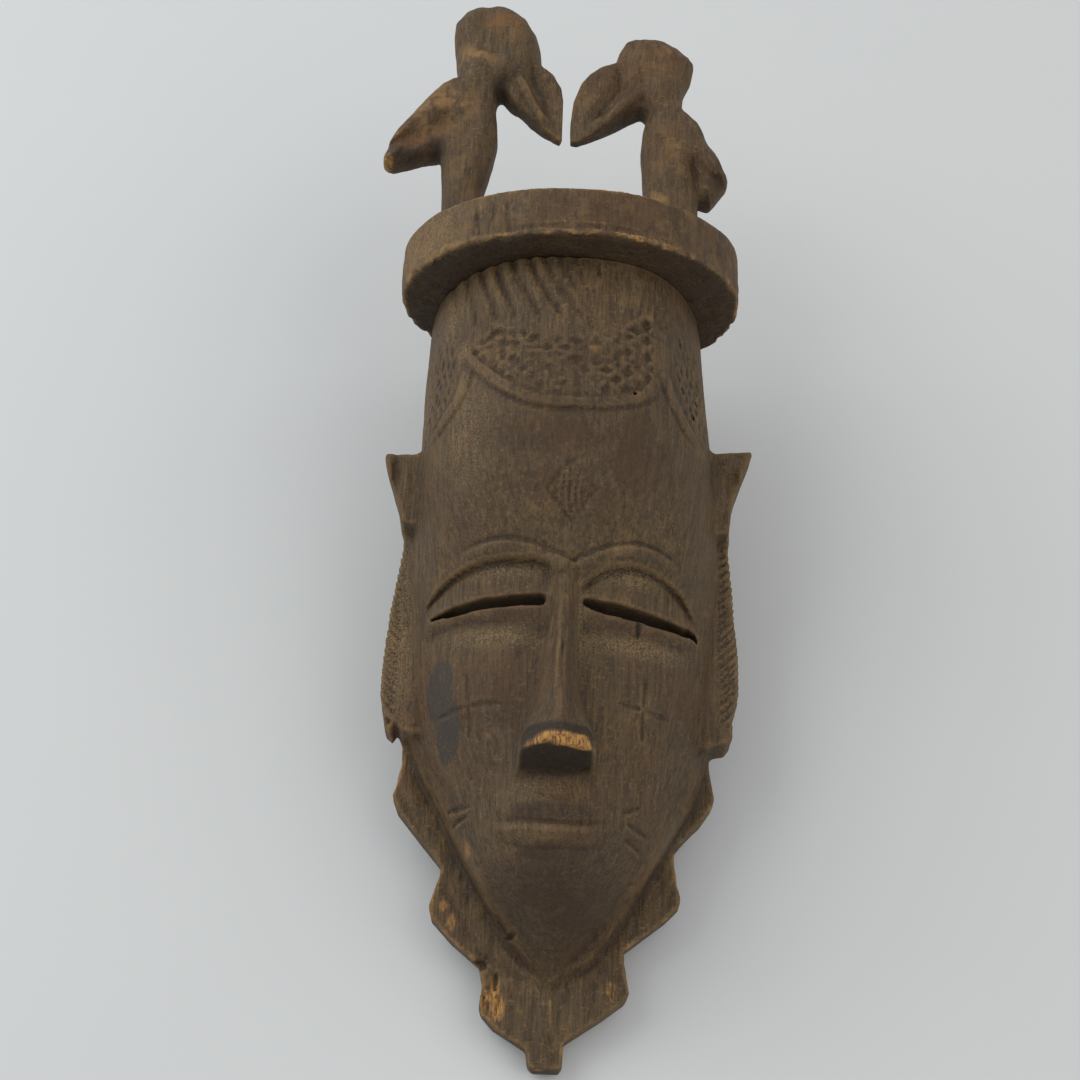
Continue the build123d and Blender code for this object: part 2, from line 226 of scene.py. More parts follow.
def vee(distance, half_width):
    """Sharp cut, 1 on the line and 0 at half_width."""
    return np.clip(1.0 - distance / half_width, 0.0, 1.0)


def merge(a, b, softness):
    """Union of two distance fields with a rounded inside corner."""
    share = np.clip(softness - np.abs(a - b), 0.0, None) / softness
    return np.minimum(a, b) - share * share * softness * 0.25


def cut_away(a, b, softness):
    """First field with the second taken out of it, with a rounded lip."""
    return -merge(-a, b, softness)


def plate(flat, y, front, back, softness=0.8):
    """Upright plate from a flat outline field, with rounded arrises."""
    flat = flat[:, None, :]
    depth = np.maximum(front - y, y - back)
    outside = np.hypot(np.maximum(flat + softness, 0), np.maximum(depth + softness, 0))
    return outside + np.minimum(np.maximum(flat, depth) + softness, 0) - softness


def egg(block, centre, radii):
    """Distance from an ellipsoid."""
    axes = (block.x, block.y, block.z)
    k = np.sqrt(sum(((axis - c) / r) ** 2 for axis, c, r in zip(axes, centre, radii)))
    return (k - 1) * min(radii)


# ---- the mask

HEAD_LEFT = [
    (0, 0.6), (22, 4.6), (32, 8.6), (45, 16.6), (60, 27.5), (76, 34.5), (95, 43.5), (118, 52.5),
    (145, 56.5), (165, 56.8), (188, 56), (210, 55.3), (232, 54.6), (254, 54.2), (276, 53.5),
]
HEAD_RIGHT = [
    (0, 0.6), (22, 1.4), (32, 7), (45, 18.2), (60, 29.6), (76, 40.5), (95, 48.5), (118, 54.3),
    (145, 58), (165, 58.8), (188, 58.3), (210, 56.8), (232, 54.6), (254, 52.6), (276, 51),
]
HEAD_DEPTH = [
    (0, 2), (22, 8.5), (32, 17), (45, 32), (60, 48.5), (68, 53), (78, 54.5), (95, 53.5),
    (118, 54.5), (145, 56), (158, 58.8), (170, 63.6), (188, 71), (210, 77), (232, 79.3),
    (254, 79.3), (276, 77.3),
]
HEAD_FULLNESS = [
    (0, 1.8), (45, 1.75), (76, 2), (118, 2.1), (165, 2.2), (188, 2.3), (210, 2.4), (276, 2.4),
]

WALL = 10.0
HOLLOW_LIP = 4.0
HOLLOW_BOTTOM = 50.0
HOLLOW_TOP = 228.0
BORDER_FRONT = -9.0
BACK_CLEARANCE = 0.05

BORDER_LEFT = [
    (-40, 118), (-55, 118), (-54.7, 105), (-57.6, 94), (-55.5, 88.5), (-46.5, 77.7), (-39, 69),
    (-40.4, 61.9), (-42.4, 54.8), (-41.5, 50.6), (-34.1, 42.9), (-24.2, 34.9), (-22.8, 27.9),
    (-23.8, 21.1), (-22.9, 18.4), (-18.8, 14), (-10.3, 9), (-7.3, 7.2), (-6.4, 1.7), (-4.8, 0.2),
]
BORDER_RIGHT = [
    (4, 0.2), (5.3, 2.1), (5.6, 9.7), (18.2, 18.2), (26.2, 24.3), (27.5, 26.9), (26.4, 33),
    (25.2, 41.2), (39.9, 52.8), (44.6, 57.6), (45, 60.7), (42.6, 71.5), (42.1, 78.2),
    (51.9, 87.4), (56, 93.6), (56.7, 96.6), (55.3, 105), (53, 118), (40, 118),
]
FLAP_LEFT = [
    (-48, 198), (-58.8, 195), (-58.5, 184), (-60.3, 171), (-61.8, 159.5), (-62.9, 147.8),
    (-63.5, 136.4), (-63.6, 128.9), (-62.3, 121.4), (-61.2, 116.2), (-58.9, 114.2), (-57.2, 117),
    (-55, 114), (-46, 113),
]
FLAP_RIGHT = [
    (48, 198), (60.4, 195), (61.8, 180), (63.2, 160.2), (64.6, 145), (65, 133.6), (64.2, 127.9),
    (62.6, 122.5), (62.4, 116), (60.5, 113.4), (52.7, 111.9), (46, 112),
]
HORN_LEFT = [
    (-48, 219.6), (-56, 217.6), (-65.8, 217.4), (-66.2, 215.9), (-65.4, 212.6), (-63, 205),
    (-60.6, 197), (-58.6, 190), (-48, 188),
]
HORN_RIGHT = [
    (48, 223), (55.9, 222), (68.5, 223.4), (69.1, 222.2), (66.8, 216), (63.4, 206.5), (61.2, 198),
    (60.4, 190), (48, 188),
]

FACE_EDGE_LEFT = [
    (-53.5, 140), (-52.8, 120), (-47.5, 104), (-38.5, 88), (-31.5, 74), (-23.6, 60), (-14.2, 46),
    (-2.5, 29),
]
FACE_EDGE_RIGHT = [
    (55.5, 140), (54.5, 118), (48, 96), (39.5, 80), (29, 62), (15, 41), (6, 32), (-2.5, 26),
]

BROW_LEFT = [
    (3.5, 164.2), (-4.4, 167.5), (-11.4, 170.4), (-20.1, 172.1), (-27.9, 171.9), (-35, 170.2),
    (-42, 166),
]
BROW_RIGHT = [
    (3.5, 164), (7.7, 166.8), (12.8, 169.2), (21.5, 171.7), (28.5, 172.3), (35.8, 171),
    (42.4, 168), (48.3, 163),
]
SOCKET_TOP_LEFT = [
    (-48.6, 153.6), (-45.6, 157.8), (-40.9, 161.2), (-35.6, 163.3), (-30.3, 164.5), (-25, 165),
    (-19.8, 165.1), (-14.6, 164.8), (-9.4, 164.3), (-5.9, 163.3), (-3.8, 161.8),
]
SOCKET_TOP_RIGHT = [
    (6.1, 155), (8.1, 157.7), (11.4, 160.2), (14.8, 162.2), (20, 163.7), (25.3, 164.3),
    (29.9, 163.9), (34.3, 163), (38, 161.4), (41.8, 159), (43.7, 157), (48, 151.6),
]
LID_BASE_LEFT = [
    (-48.1, 143.4), (-45.7, 144.5), (-42, 145.9), (-34.8, 146.1), (-27.7, 145.5), (-20.7, 144.4),
    (-13.8, 143.2), (-6.8, 141.4),
]
LID_BASE_RIGHT = [
    (6, 142.6), (13.7, 142.1), (20.7, 141.9), (27.7, 142.2), (34.9, 142), (42.2, 142.3),
    (50, 143.4),
]
SLIT_LEFT = [
    (-45.2, 150.5), (-39.7, 150.9), (-35, 151.1), (-28, 151.7), (-21, 151.8), (-14.1, 152),
    (-7.4, 152.1),
]
SLIT_RIGHT = [
    (8.4, 151.6), (13.5, 150.5), (20.5, 149.8), (27.5, 149), (34.7, 148.3), (42.1, 148),
    (45.2, 148.2),
]

HAIR_LINE = [
    (-37.8, 242.7), (-33.8, 235.8), (-29.2, 230.5), (-24, 225.3), (-18.5, 221.4), (-12.5, 218.8),
    (-6.2, 217.6), (2.5, 217.3), (11.2, 217.9), (18.8, 219.4), (25.2, 222.4), (29.4, 227),
    (31.9, 232.8), (32.6, 238.8), (31.4, 245.2),
]
CRESCENT_TOP = [
    (-35.8, 244.6), (-32.2, 247.3), (-25, 248), (-14.2, 244.6), (-3.6, 242.6), (7, 243.2),
    (15.7, 245.9), (22.8, 251.5), (28.3, 255.5), (31.6, 252),
]
TEMPLE_LEFT = [(-35.8, 236.4), (-38.8, 226.2), (-42.3, 221.8), (-46.4, 218), (-51, 214.6)]
TEMPLE_RIGHT = [
    (33.4, 236.5), (35.6, 230.7), (38.1, 225.2), (41.4, 220.4), (45.4, 216.2), (50.6, 212),
]
LOZENGE = [(1.5, 197.2), (10.4, 187.8), (2.3, 177.2), (-6.5, 187.3)]

NOSE_TIP, NOSE_TOP = 74, 176
NOSE_HALF_WIDTH = [
    (80, 13.4), (97, 12.9), (103, 11.3), (111, 8.4), (120, 7), (129, 6.4), (140, 5.9), (151, 5),
    (161, 4.7), (176, 4.4),
]
NOSE_RIDGE = [
    (80, 77), (97, 74), (104, 72.6), (125, 69), (142, 66), (152, 64.2), (162, 63.6), (176, 64.6),
]
NOSE_SHOULDER = [
    (80, 68), (97, 66.6), (104, 64), (113, 61), (125, 58.6), (150, 58), (162, 60.6), (176, 64.4),
]
NOSE_MIDDLE = [(80, -0.3), (113, -0.2), (150, 0.5), (176, 0.8)]

UPPER_LIP = [
    (-23, 77.2), (-17.8, 75.9), (-11, 75.1), (-2.7, 73.8), (5.6, 73.8), (12.2, 74.6), (22, 76.6),
]
LOWER_LIP = [
    (-23, 73.2), (-18.2, 70.2), (-10.7, 66.7), (-2.4, 65.4), (7.5, 66), (15.8, 68.2), (23, 72.2),
]
MOUTH_LINE = [(-16, 76), (-11, 75.3), (-2.7, 74), (5.6, 74), (12.2, 74.8), (16, 75.6)]
LIP_RIDGE = [(-15, 80.6), (-8.8, 82.2), (-5.2, 81.6), (1, 80.8), (14, 81.4)]
NOSE_CRACK = [(1.6, 150), (1.2, 137), (0.2, 126), (0.6, 114)]
CHIN_CRACK = [(-19.6, 51.6), (-17, 48), (-14.6, 44.8), (-11.4, 43.2)]
LID_CRACK = [(26.9, 145.6), (26.4, 142)]

# start, end and half width of each cut; centre and points of each cross
MOUTH_SCARS = [
    ((22.4, 79.8), (28.6, 83.6), 1.2), ((23.8, 77), (31.4, 75.2), 1.6),
    ((22.8, 72.6), (29.4, 70), 1.4), ((-37, 85.4), (-28.4, 83.4), 1.5),
    ((-35.4, 80.2), (-28.8, 81.8), 1.2),
]
CHEEK_CROSSES = [
    ((-30.9, 115.8), ((-32.1, 127.4), (-30.1, 105.6), (-41.6, 114.4), (-19, 115.6))),
    ((29, 115.7), ((29.8, 127), (28.5, 105.6), (19.4, 117.2), (37.6, 114.8))),
]
FOREHEAD_SCRATCHES = [
    ((-27, 211), (-19, 214.4)), ((-19, 214.4), (-8, 211.6)), ((-24, 206.8), (-12, 208.6)),
]

# centre, width, height and depth of each dent; top, lean and depth of each flute
CRESCENT_DENTS = [
    ((-26.4, 245.4), 3.8, 2.2, 1.2), ((-23.4, 240.4), 3, 2.4, 0.8), ((-13.2, 242), 3.4, 1.7, 0.8),
    ((21.8, 246.4), 2.5, 3, 0.9), ((26.2, 251), 2, 3.6, 0.9), ((17, 238), 2.8, 2.6, 0.7),
    ((21, 232), 2.4, 2.4, 0.6),
]
BROAD_FLUTES = [
    (-43, 2, 0.7), (-38.4, 4, 0.9), (-33, 5.6, 1.15), (-27.8, 6.8, 1.3), (-22, 8.8, 1.3),
    (-16, 10.2, 1.2), (-10.3, 11.6, 1), (-4.6, 10.2, 0.75), (1, 7.2, 0.5),
]
FINE_FLUTES = 13

# the net on the hair: its foot, the girth it is wrapped on, its pitch and its front edges
NET_FOOT, NET_TURN, NET_PITCH = 184, 78, 5.4
NET_EDGE_LEFT = [
    (186, 60), (207, 57), (215, 54), (218, 49.6), (226, 42.2), (236, 39.6), (262, 40),
]
NET_EDGE_RIGHT = [
    (186, 60), (204, 58), (212, 54), (217, 48.6), (225, 41.6), (236, 37), (262, 36.5),
]


def head_value(block, shrink_side, shrink_depth):
    """Distance from the flat-backed head, or from the same shape made smaller."""
    z = block.flat_z[0]
    left = np.maximum(height_table(HEAD_LEFT, z) - shrink_side, 1.0)
    right = np.maximum(height_table(HEAD_RIGHT, z) - shrink_side, 1.0)
    depth = np.maximum(height_table(HEAD_DEPTH, z) - shrink_depth, 1.0)
    power = height_table(HEAD_FULLNESS, z)
    reach = np.where(block.x > 0, right, left)
    across = np.abs(block.x) / reach
    inward = np.maximum(-block.y, 0.0) / depth
    value = (across**power + inward**power) ** (1.0 / power) - 1.0
    slopes = np.gradient(value, block.step)
    steep = np.sqrt(sum(s * s for s in slopes) + 1e-7)
    return value / np.maximum(steep, 0.006)


def lattice(u, v, pitch, seed):
    """Net of little square pits: 1 in the bottom of a pit and 0 on the strings."""
    wobble = noise_2d(u.shape[0], v.shape[1], 1.0, (22, 26), seed) * 0.16
    a = (u + v) / pitch + wobble
    b = (u - v) / pitch - wobble
    cell = np.sin(np.floor(a) * 12.9898 + np.floor(b) * 78.233) * 43758.5453
    deep = 0.55 + 0.45 * (cell - np.floor(cell))
    string = np.minimum(np.abs(a - np.round(a)), np.abs(b - np.round(b)))
    return ease(string, 0.10, 0.34) * deep


def dig(u, v, points, half_width, depth, fade_in=0, fade_out=0, shape=vee, straight=False):
    """Cut or ridge of one cross-section along a curve, dying away towards its ends."""
    distance, along = away_from(u, v, points, straight=straight)
    worn = ease(along, -0.001, fade_in + 0.001) * fade(along, 0.999 - fade_out, 1.001)
    return depth * shape(distance, half_width) * worn


def spot(u, v, centre, wide, tall, lean=0):
    """Rounded spot, 1 at its centre and 0 at an oval limit round it."""
    across = u - centre[0]
    return hump(np.hypot(across / wide, (v - centre[1] - lean * across) / tall), 1)


def leaf_cut(u, v, start, end, half_width, depth):
    """Pointed chip cut out with two strokes of a knife."""
    distance, along = away_from(u, v, [start, end], straight=True)
    return depth * vee(distance, half_width * np.sin(np.pi * np.clip(along, 0.03, 0.97)) ** 0.8)


def face_relief(block):
    """How far the front of the mask stands out (+) or is cut in (-), for every x and z."""
    u, v = block.flat_x, block.flat_z
    relief = np.zeros(np.broadcast(u, v).shape, dtype=np.float32)

    # soft forms: muzzle, cheeks, the dip between cheek and mouth
    for x, z, wide, tall, rise in (
        (-0.5, 75, 21, 12, 2.6), (-31, 122, 15, 15, 1.2), (31, 122, 15, 15, 1.2),
        (-22, 88, 7, 10, -1.3), (22, 88, 7, 10, -1.3),
    ):
        relief += rise * np.exp(-((u - x) / wide) ** 2 - ((v - z) / tall) ** 2)

    # brow bands, and lids that swell out between a crisp upper cut and a soft lower crease
    for brow, top, base, slit, side in (
        (BROW_LEFT, SOCKET_TOP_LEFT, LID_BASE_LEFT, SLIT_LEFT, -1),
        (BROW_RIGHT, SOCKET_TOP_RIGHT, LID_BASE_RIGHT, SLIT_RIGHT, 1),
    ):
        relief -= dig(u, v, brow, 1.3, 0.75, fade_out=0.35)
        relief += dig(u, v, [(x, z - 3.4) for x, z in brow], 3.7, 1.35, 0.1, 0.35, hump)
        top_z, base_z, slit_z = (line_height(line, u) for line in (top, base, slit))
        outer_x, nose_x = (top[0][0], top[-1][0]) if side < 0 else (top[-1][0], top[0][0])
        within = ease(side * (outer_x - u), -2, 6.5) * ease(side * (u - nose_x), -0.8, 2.5)
        above = np.clip((v - slit_z) / np.maximum(top_z - slit_z, 1), 0, 1)
        below = np.clip((slit_z - v) / np.maximum(slit_z - base_z, 1), 0, 1)
        upper = (v > slit_z) * fade(v, top_z - 0.5, top_z + 0.7) * (0.4 + 2.3 * above**1.7)
        lower = (v <= slit_z) * ease(v, base_z - 5, base_z + 0.4) * (0.3 + 1.9 * below**1.8)
        relief -= within * (upper + lower)
        relief -= dig(u, v, top, 1.2, 0.55, 0.06, 0.10)

    # mouth: each lip slopes in gently from above and steps out again below its line
    for line, depth, above, below in (
        (UPPER_LIP, 1.55, 6.4, 2.8), (LOWER_LIP, 1.2, 3.2, 6),
    ):
        from_line = v - line_height(line, u)
        slope = np.where(from_line > 0, vee(from_line, above), vee(-from_line, below)) ** 1.3
        relief -= depth * slope * band(u, -26, -13, 11, 25)
    relief -= dig(u, v, MOUTH_LINE, 0.9, 0.5, 0.25, 0.3)
    relief += dig(u, v, LIP_RIDGE, 2.2, 0.45, 0.2, 0.25, hump)

    # scars fanning out from the corners of the mouth
    for (x0, z0), (x1, z1), half_width in MOUTH_SCARS:
        relief -= leaf_cut(u, v, (x0, z0), (x1, z1), half_width, 0.75)
        relief += leaf_cut(u, v, (x0, z0 - 1.7), (x1, z1 - 1.7), half_width, 0.35)

    # crossed leaf-shaped cuts on the cheeks
    for centre, ends in CHEEK_CROSSES:
        relief -= np.maximum.reduce([leaf_cut(u, v, centre, end, 1.7, 0.85) for end in ends])
        relief += 0.22 * spot(u, v, centre, 10, 7)

    # forehead lozenge, filled with slanting strokes
    flat = inside_outline(u, v, LOZENGE)
    relief -= 0.70 * vee(np.abs(flat), 1.2)
    strokes = np.abs(((u + v * 0.06 + 0.4 * np.sin(v * 0.45)) / 2.3) % 1 - 0.5) * 2
    relief -= 0.60 * ease(-flat, 0.3, 1.6) * hump(strokes, 0.60)
    for x in (-11.3, 13.9):
        relief -= 0.30 * spot(u, v, (x, 176.6), 1.9, 3)

    # face boundary: a crisp ridge, a groove outside it and a second ridge on the border
    for edge, side, crisp, second in (
        (FACE_EDGE_LEFT, -1, 0.75, 0.45), (FACE_EDGE_RIGHT, 1, 0.65, 0.2),
    ):
        relief += dig(u, v, edge, 2.2, crisp, 0.25, 0.12, hump)
        for out, down, half_width, rise in (
            (2.4, 1.6, 1.7, -0.9 * crisp), (6.2, 4.4, 2.6, second), (8.8, 6.6, 1.6, -0.8 * second),
        ):
            line = []
            for x, z in edge[1:]:
                share = min(1, (z - 25) / 16)
                line.append((x + side * out * share, z - down * share))
            relief += dig(u, v, line, half_width, rise, 0.25, 0.08, hump)
    relief += dig(u, v, [(-1.4, 24), (-0.8, 16), (-0.6, 8)], 3.6, 0.8, 0.1, 0.3, hump)
    relief -= dig(u, v, CHIN_CRACK, 0.9, 1.1, 0.3, 0.2)
    relief -= 1.3 * spot(u, v, (-13.6, 44), 2.2, 1)
    return relief


def hair_relief(block):
    """Carving of the hair block and its borders, for every x and z."""
    u, v = block.flat_x, block.flat_z
    size = (u.shape[0], v.shape[1], block.step)
    relief = np.zeros(np.broadcast(u, v).shape, dtype=np.float32)
    base_z = line_height(HAIR_LINE[:-3], u, left=300, right=300)
    top_z = line_height(CRESCENT_TOP, u, left=246, right=250)

    # crescent of worn pits over the forehead
    in_crescent = ease(v, base_z + 2.4, base_z + 4.2) * fade(v, top_z - 2, top_z + 0.4)
    worn = 0.50 + 0.35 * ease(noise_2d(*size, (12, 9), 14), -0.5, 0.6) + 0.30 * ease(u, 10, 24)
    relief -= in_crescent * worn * lattice(u - 2, v, 7.2, 11)
    relief -= 0.75 * in_crescent * np.abs(noise_2d(*size, (3.4, 2.6), 15))
    relief += 0.38 * in_crescent * noise_2d(*size, (2, 1.6), 16)
    for centre, wide, tall, depth in CRESCENT_DENTS:
        relief -= depth * in_crescent * spot(u, v, centre, wide, tall, 0.3)

    # flutes under the disc: broad ones lean in on the left, fine faint ones fan out on the right
    flutes = np.zeros_like(relief)
    for head_x, lean, depth in BROAD_FLUTES:
        line = [(head_x + share * lean, z)
                for share, z in ((0, 276.5), (0.35, 267), (1, 255), (1.3, 249))]
        flutes = np.maximum(flutes, dig(u, v, line, 2.1, 1.15 * depth, fade_out=0.25))
    for step in range(FINE_FLUTES):
        foot_x, head_x = 8.8 + 1.5 * step, -2 + 3.6 * step + 0.7 * math.sin(step * 2.3)
        line = [(foot_x, 243 + 0.7 * step), (0.5 * (foot_x + head_x) + 0.8, 256), (head_x, 275)]
        depth = 0.60 + 0.18 * math.sin(step * 1.7)
        flutes = np.maximum(flutes, dig(u, v, line, 1.4, depth, 0.05, 0.4))
    in_flutes = ease(v, top_z + 0.2, top_z + 3) * fade(np.abs(u), 45, 50)
    patchy = 0.65 + 0.35 * ease(noise_2d(*size, (7, 10), 13), -0.6, 0.4)
    relief -= in_flutes * patchy * flutes
    relief -= dig(u, v, [(9.3, 274), (9.5, 266.5)], 1, 0.8, fade_out=0.3, straight=True)

    # raised cord round the forehead and down each temple, with a groove on both sides
    wobble = 0.3 * noise_2d(*size, (6, 6), 17)
    for cord, height in ((HAIR_LINE, 0.45), (TEMPLE_LEFT, 0.55), (TEMPLE_RIGHT, 0.55)):
        away, along = away_from(u, v, cord)
        worn = band(along, 0, 0.08, 0.72, 1)
        relief += height * worn * hump(away + wobble, 2.2)
        relief -= 0.45 * worn * hump(away + wobble - 2.8, 1.3)
    for start, end in FOREHEAD_SCRATCHES:
        relief -= dig(u, v, [start, end], 0.9, 0.28, 0.3, 0.4, straight=True)

    # the hair stands a little proud of the forehead
    relief += 0.5 * ease(v, base_z - 3, base_z - 1.5) * fade(v, 268, 276)
    return relief


def nose_field(block):
    """Straight narrow nose with sloping flanks and a flat cut underside."""
    half_width, ridge, shoulder, middle = (
        height_table(points, block.flat_z[0])
        for points in (NOSE_HALF_WIDTH, NOSE_RIDGE, NOSE_SHOULDER, NOSE_MIDDLE)
    )
    aside = np.abs(block.flat_x - middle)
    ridge_half = 1 + 1.2 * ease(block.flat_z, 106, 97)
    share = np.clip((aside - ridge_half) / np.maximum(half_width - ridge_half, 0.5), 0, 1)
    front = ridge - (ridge - shoulder) * share**1.15
    lean = (ridge - shoulder) / np.maximum(half_width - ridge_half.max(), 0.5)
    roof = (-block.y - front[:, None, :]) / np.sqrt(1 + lean**2)
    flank = (aside - half_width)[:, None, :]
    behind_tip = block.y + NOSE_TIP
    under = (96.1 - 0.25 * behind_tip - block.z) * 0.97
    bevel = (100.4 - 1.88 * behind_tip - block.z) * 0.47
    ends = np.maximum(np.maximum(under, bevel), block.z - NOSE_TOP)
    return merge_max(merge_max(roof, flank, 2.6), ends, 0.8)


def merge_max(a, b, softness):
    """Overlap of two distance fields with a rounded outside corner."""
    return -merge(-a, -b, softness)


def side_net(block, field):
    """Worn net carved down both sides of the hair, following the curve of the head."""
    first = int((NET_FOOT - block.low[2]) / block.step)
    z = block.z[:, :, first:]
    left, right, depth = (height_table(t, z[0, 0]) for t in (HEAD_LEFT, HEAD_RIGHT, HEAD_DEPTH))
    reach = np.where(block.x > 0, right, left)
    angle = np.arctan2(np.maximum(-block.y, 0) / depth, np.abs(block.x) / reach)
    around = (math.pi / 2 - angle) * NET_TURN
    wander = 0.22 * np.sin(z * 0.19) + 0.18 * np.sin(around * 0.31 + 1)
    string_a = (around + z * 0.62) / NET_PITCH + wander
    string_b = (around - z * 0.62) / NET_PITCH - wander
    cell = np.sin(np.floor(string_a) * 12.99 + np.floor(string_b) * 78.23) * 43758.5
    deep = 0.25 + 0.75 * (cell - np.floor(cell))
    string = np.minimum(*(np.abs(s - np.round(s)) for s in (string_a, string_b)))
    edge_x = np.where(block.x > 0, np.interp(z, *zip(*NET_EDGE_RIGHT)),
                      np.interp(z, *zip(*NET_EDGE_LEFT)))
    region = ease(np.abs(block.x), edge_x + 0.4, edge_x + 1.8) * fade(z, 252, 262)
    region = region * ease(z, 196, 204) * ease(-block.y, 3, 6)
    field[:, :, first:] += region * deep * ease(string, 0.08, 0.40) * 1.15
    return field


# centre and radii of each broken place, and how bare its wood is
CHIPS = [
    ((-21.2, -9.4, 22.4), (1.7, 1.9, 5), 1), ((-17.2, -9.4, 20.6), (1.9, 2.1, 5), 1),
    ((-18.4, -9.3, 28.2), (0.8, 1.2, 4.6), 1), ((-37.4, -9.3, 55), (0.6, 0.6, 1.6), 0.5),
    ((-34.4, -9.3, 49.4), (0.5, 0.8, 3), 0.6), ((22, -9.3, 26.6), (0.8, 0.7, 2.8), 0.6),
    ((20.6, -9.3, 28.4), (0.5, 0.6, 2), 0.6), ((-24.2, -7, 34.8), (2.4, 4.2, 1.9), 0),
    ((-61, -20, 117.6), (2.6, 4, 2), 0),
]
WORM_HOLES = [(23.1, 223.2), (46.1, 233.1), (45, 225.9)]

hanging_mount = next(m for m in frame["record"]["mounts"] if m["name"] == "hanging_hole")
hanging_height = (hanging_mount["pos_m"][2] - chin_height) * 1000.0
hanging_radius = hanging_mount["dims"]["r_mm"]
hanging_depth = hanging_mount["dims"]["length_mm"]


def carve_mask():
    """The face, hair block, border, ear flaps and horns as one distance field."""
    block = Block((-68, -84, -1.5), (71, 2, disc_bottom + 1), MASK_STEP)
    u, v, y = block.flat_x, block.flat_z, block.y
    field = side_net(block, head_value(block, 0, 0))
    field = merge(field, nose_field(block), 2.6)

    border = inside_outline(u, v, BORDER_LEFT + BORDER_RIGHT)
    field = merge(field, plate(border, y, BORDER_FRONT, 0, 0.6), 5)
    for outline in (FLAP_LEFT, FLAP_RIGHT):
        field = merge(field, plate(inside_outline(u, v, outline), y, -21, -3, 1.2), 2.5)
    for outline, side in ((HORN_LEFT, -1), (HORN_RIGHT, 1)):
        horn = plate(inside_outline(u, v, outline), y, -31, -17, 0.9)
        scoop = egg(block, (side * 61.5, -33.5, 208), (3.4, 4.6, 10.5))
        field = merge(field, cut_away(horn, scoop, 1), 2.5)

    relief = face_relief(block) + hair_relief(block)
    front_only = ease(-y, 2, 6)
    field = field - relief[:, None, :] * front_only

    # slanting strokes across the ear flaps, round on to their outer sides
    tops = slice(int(114 / MASK_STEP), int(192 / MASK_STEP))
    for side in (-1, 1):
        rows = slice(0, int(13.5 / MASK_STEP)) if side < 0 else slice(int(124 / MASK_STEP), None)
        x, z = block.x[rows], block.z[:, :, tops]
        stroke = (z + side * -0.95 * x + 0.35 * y) / 3.1 + 0.25 * np.sin(z * 0.23)
        stroke = np.abs(stroke - np.round(stroke)) * 2
        zone = ease(side * x, 56.4, 58.4) * band(z, 117, 121, 184, 190) * ease(-y, 3.5, 5)
        field[rows, :, tops] += zone * 0.85 * fade(stroke, 0.05, 0.7)

    # knife work, long grain and small dents
    for cell, depth, seed in (
        ((13, 13, 19), 0.34, 21), ((5, 5, 8), 0.16, 22), ((1.6, 1.6, 14), 0.07, 23),
    ):
        field += depth * noise_3d(block, cell, seed) * front_only
    field += 0.30 * ease(noise_3d(block, (2.6, 2.6, 3.4), 24), 0.62, 0.95) * front_only

    # broken corners and splinters, where raw wood shows
    torn = 0.7 * noise_3d(block, (1.5, 1.8, 5), 25)
    for centre, radii, _ in CHIPS:
        field = cut_away(field, egg(block, centre, radii) + torn, 0.4)
    for x, z in WORM_HOLES:
        hole = np.sqrt((block.x - x) ** 2 + (block.z - z) ** 2) - 0.75
        field = np.maximum(field, -np.maximum(hole, y + 40))

    hollow = head_value(block, WALL, WALL + HOLLOW_LIP)
    ends = np.maximum(HOLLOW_BOTTOM - block.z, block.z - HOLLOW_TOP)
    hollow = merge_max(hollow, ends, 6) + 0.35 * noise_3d(block, (9, 9, 7), 26)
    field = cut_away(field, hollow, 1.2)

    # eye slits, the step at the outer end of the right one and the cracks
    for slit, widths in (
        (SLIT_LEFT, (0.6, 1.6, 1.8, 1.8, 2)), (SLIT_RIGHT, (1.5, 2.2, 2, 1.7, 1.2)),
    ):
        distance, along = away_from(u, v, slit)
        half = np.interp(along, np.linspace(0, 1, len(widths)), widths)
        cut = distance - half + 0.2 * noise_2d(*distance.shape, MASK_STEP, (3, 2), 27)
        field = cut_away(field, np.maximum(cut[:, None, :], y + 30), 0.5)
    across, up = u - 46.4, v - 148
    step_cut = np.maximum(np.abs(across + 0.35 * up) - 1.7, np.abs(up + 0.30 * across) - 1.3)
    field = cut_away(field, np.maximum(step_cut[:, None, :], y + 30), 0.4)
    crack, along = away_from(u, v, NOSE_CRACK)
    field = field + 0.6 * (vee(crack, 0.8) * hump(along - 0.5, 0.5))[:, None, :] * front_only
    crack, _ = away_from(u, v, LID_CRACK)
    field = field + 0.9 * vee(crack, 0.9)[:, None, :] * front_only

    hole = np.hypot(block.x, block.z - hanging_height) - hanging_radius
    field = np.maximum(field, -np.maximum(hole, -y - hanging_depth))
    field = np.maximum(field, np.maximum(y + BACK_CLEARANCE, 0.15 - block.z))
    return block, np.maximum(field, block.z - disc_bottom)


# ---- the crown

DISC_HALF_WIDTH = 63.6
DISC_HALF_DEPTH = 52.8
DISC_CENTRE_Y = -40.0
RIM_RADIUS, TOOTH_PITCH = 58, 13.6
rim_top = disc_top + 0.9
# place and depth of each upright cut
FRONT_CUTS = [
    (-45, 0.6), (-34.5, 0.9), (-29, 0.45), (-23.5, 0.8), (-12, 0.4), (8, 0.3), (20, 0.35),
    (33, 0.5), (46, 0.5),
]


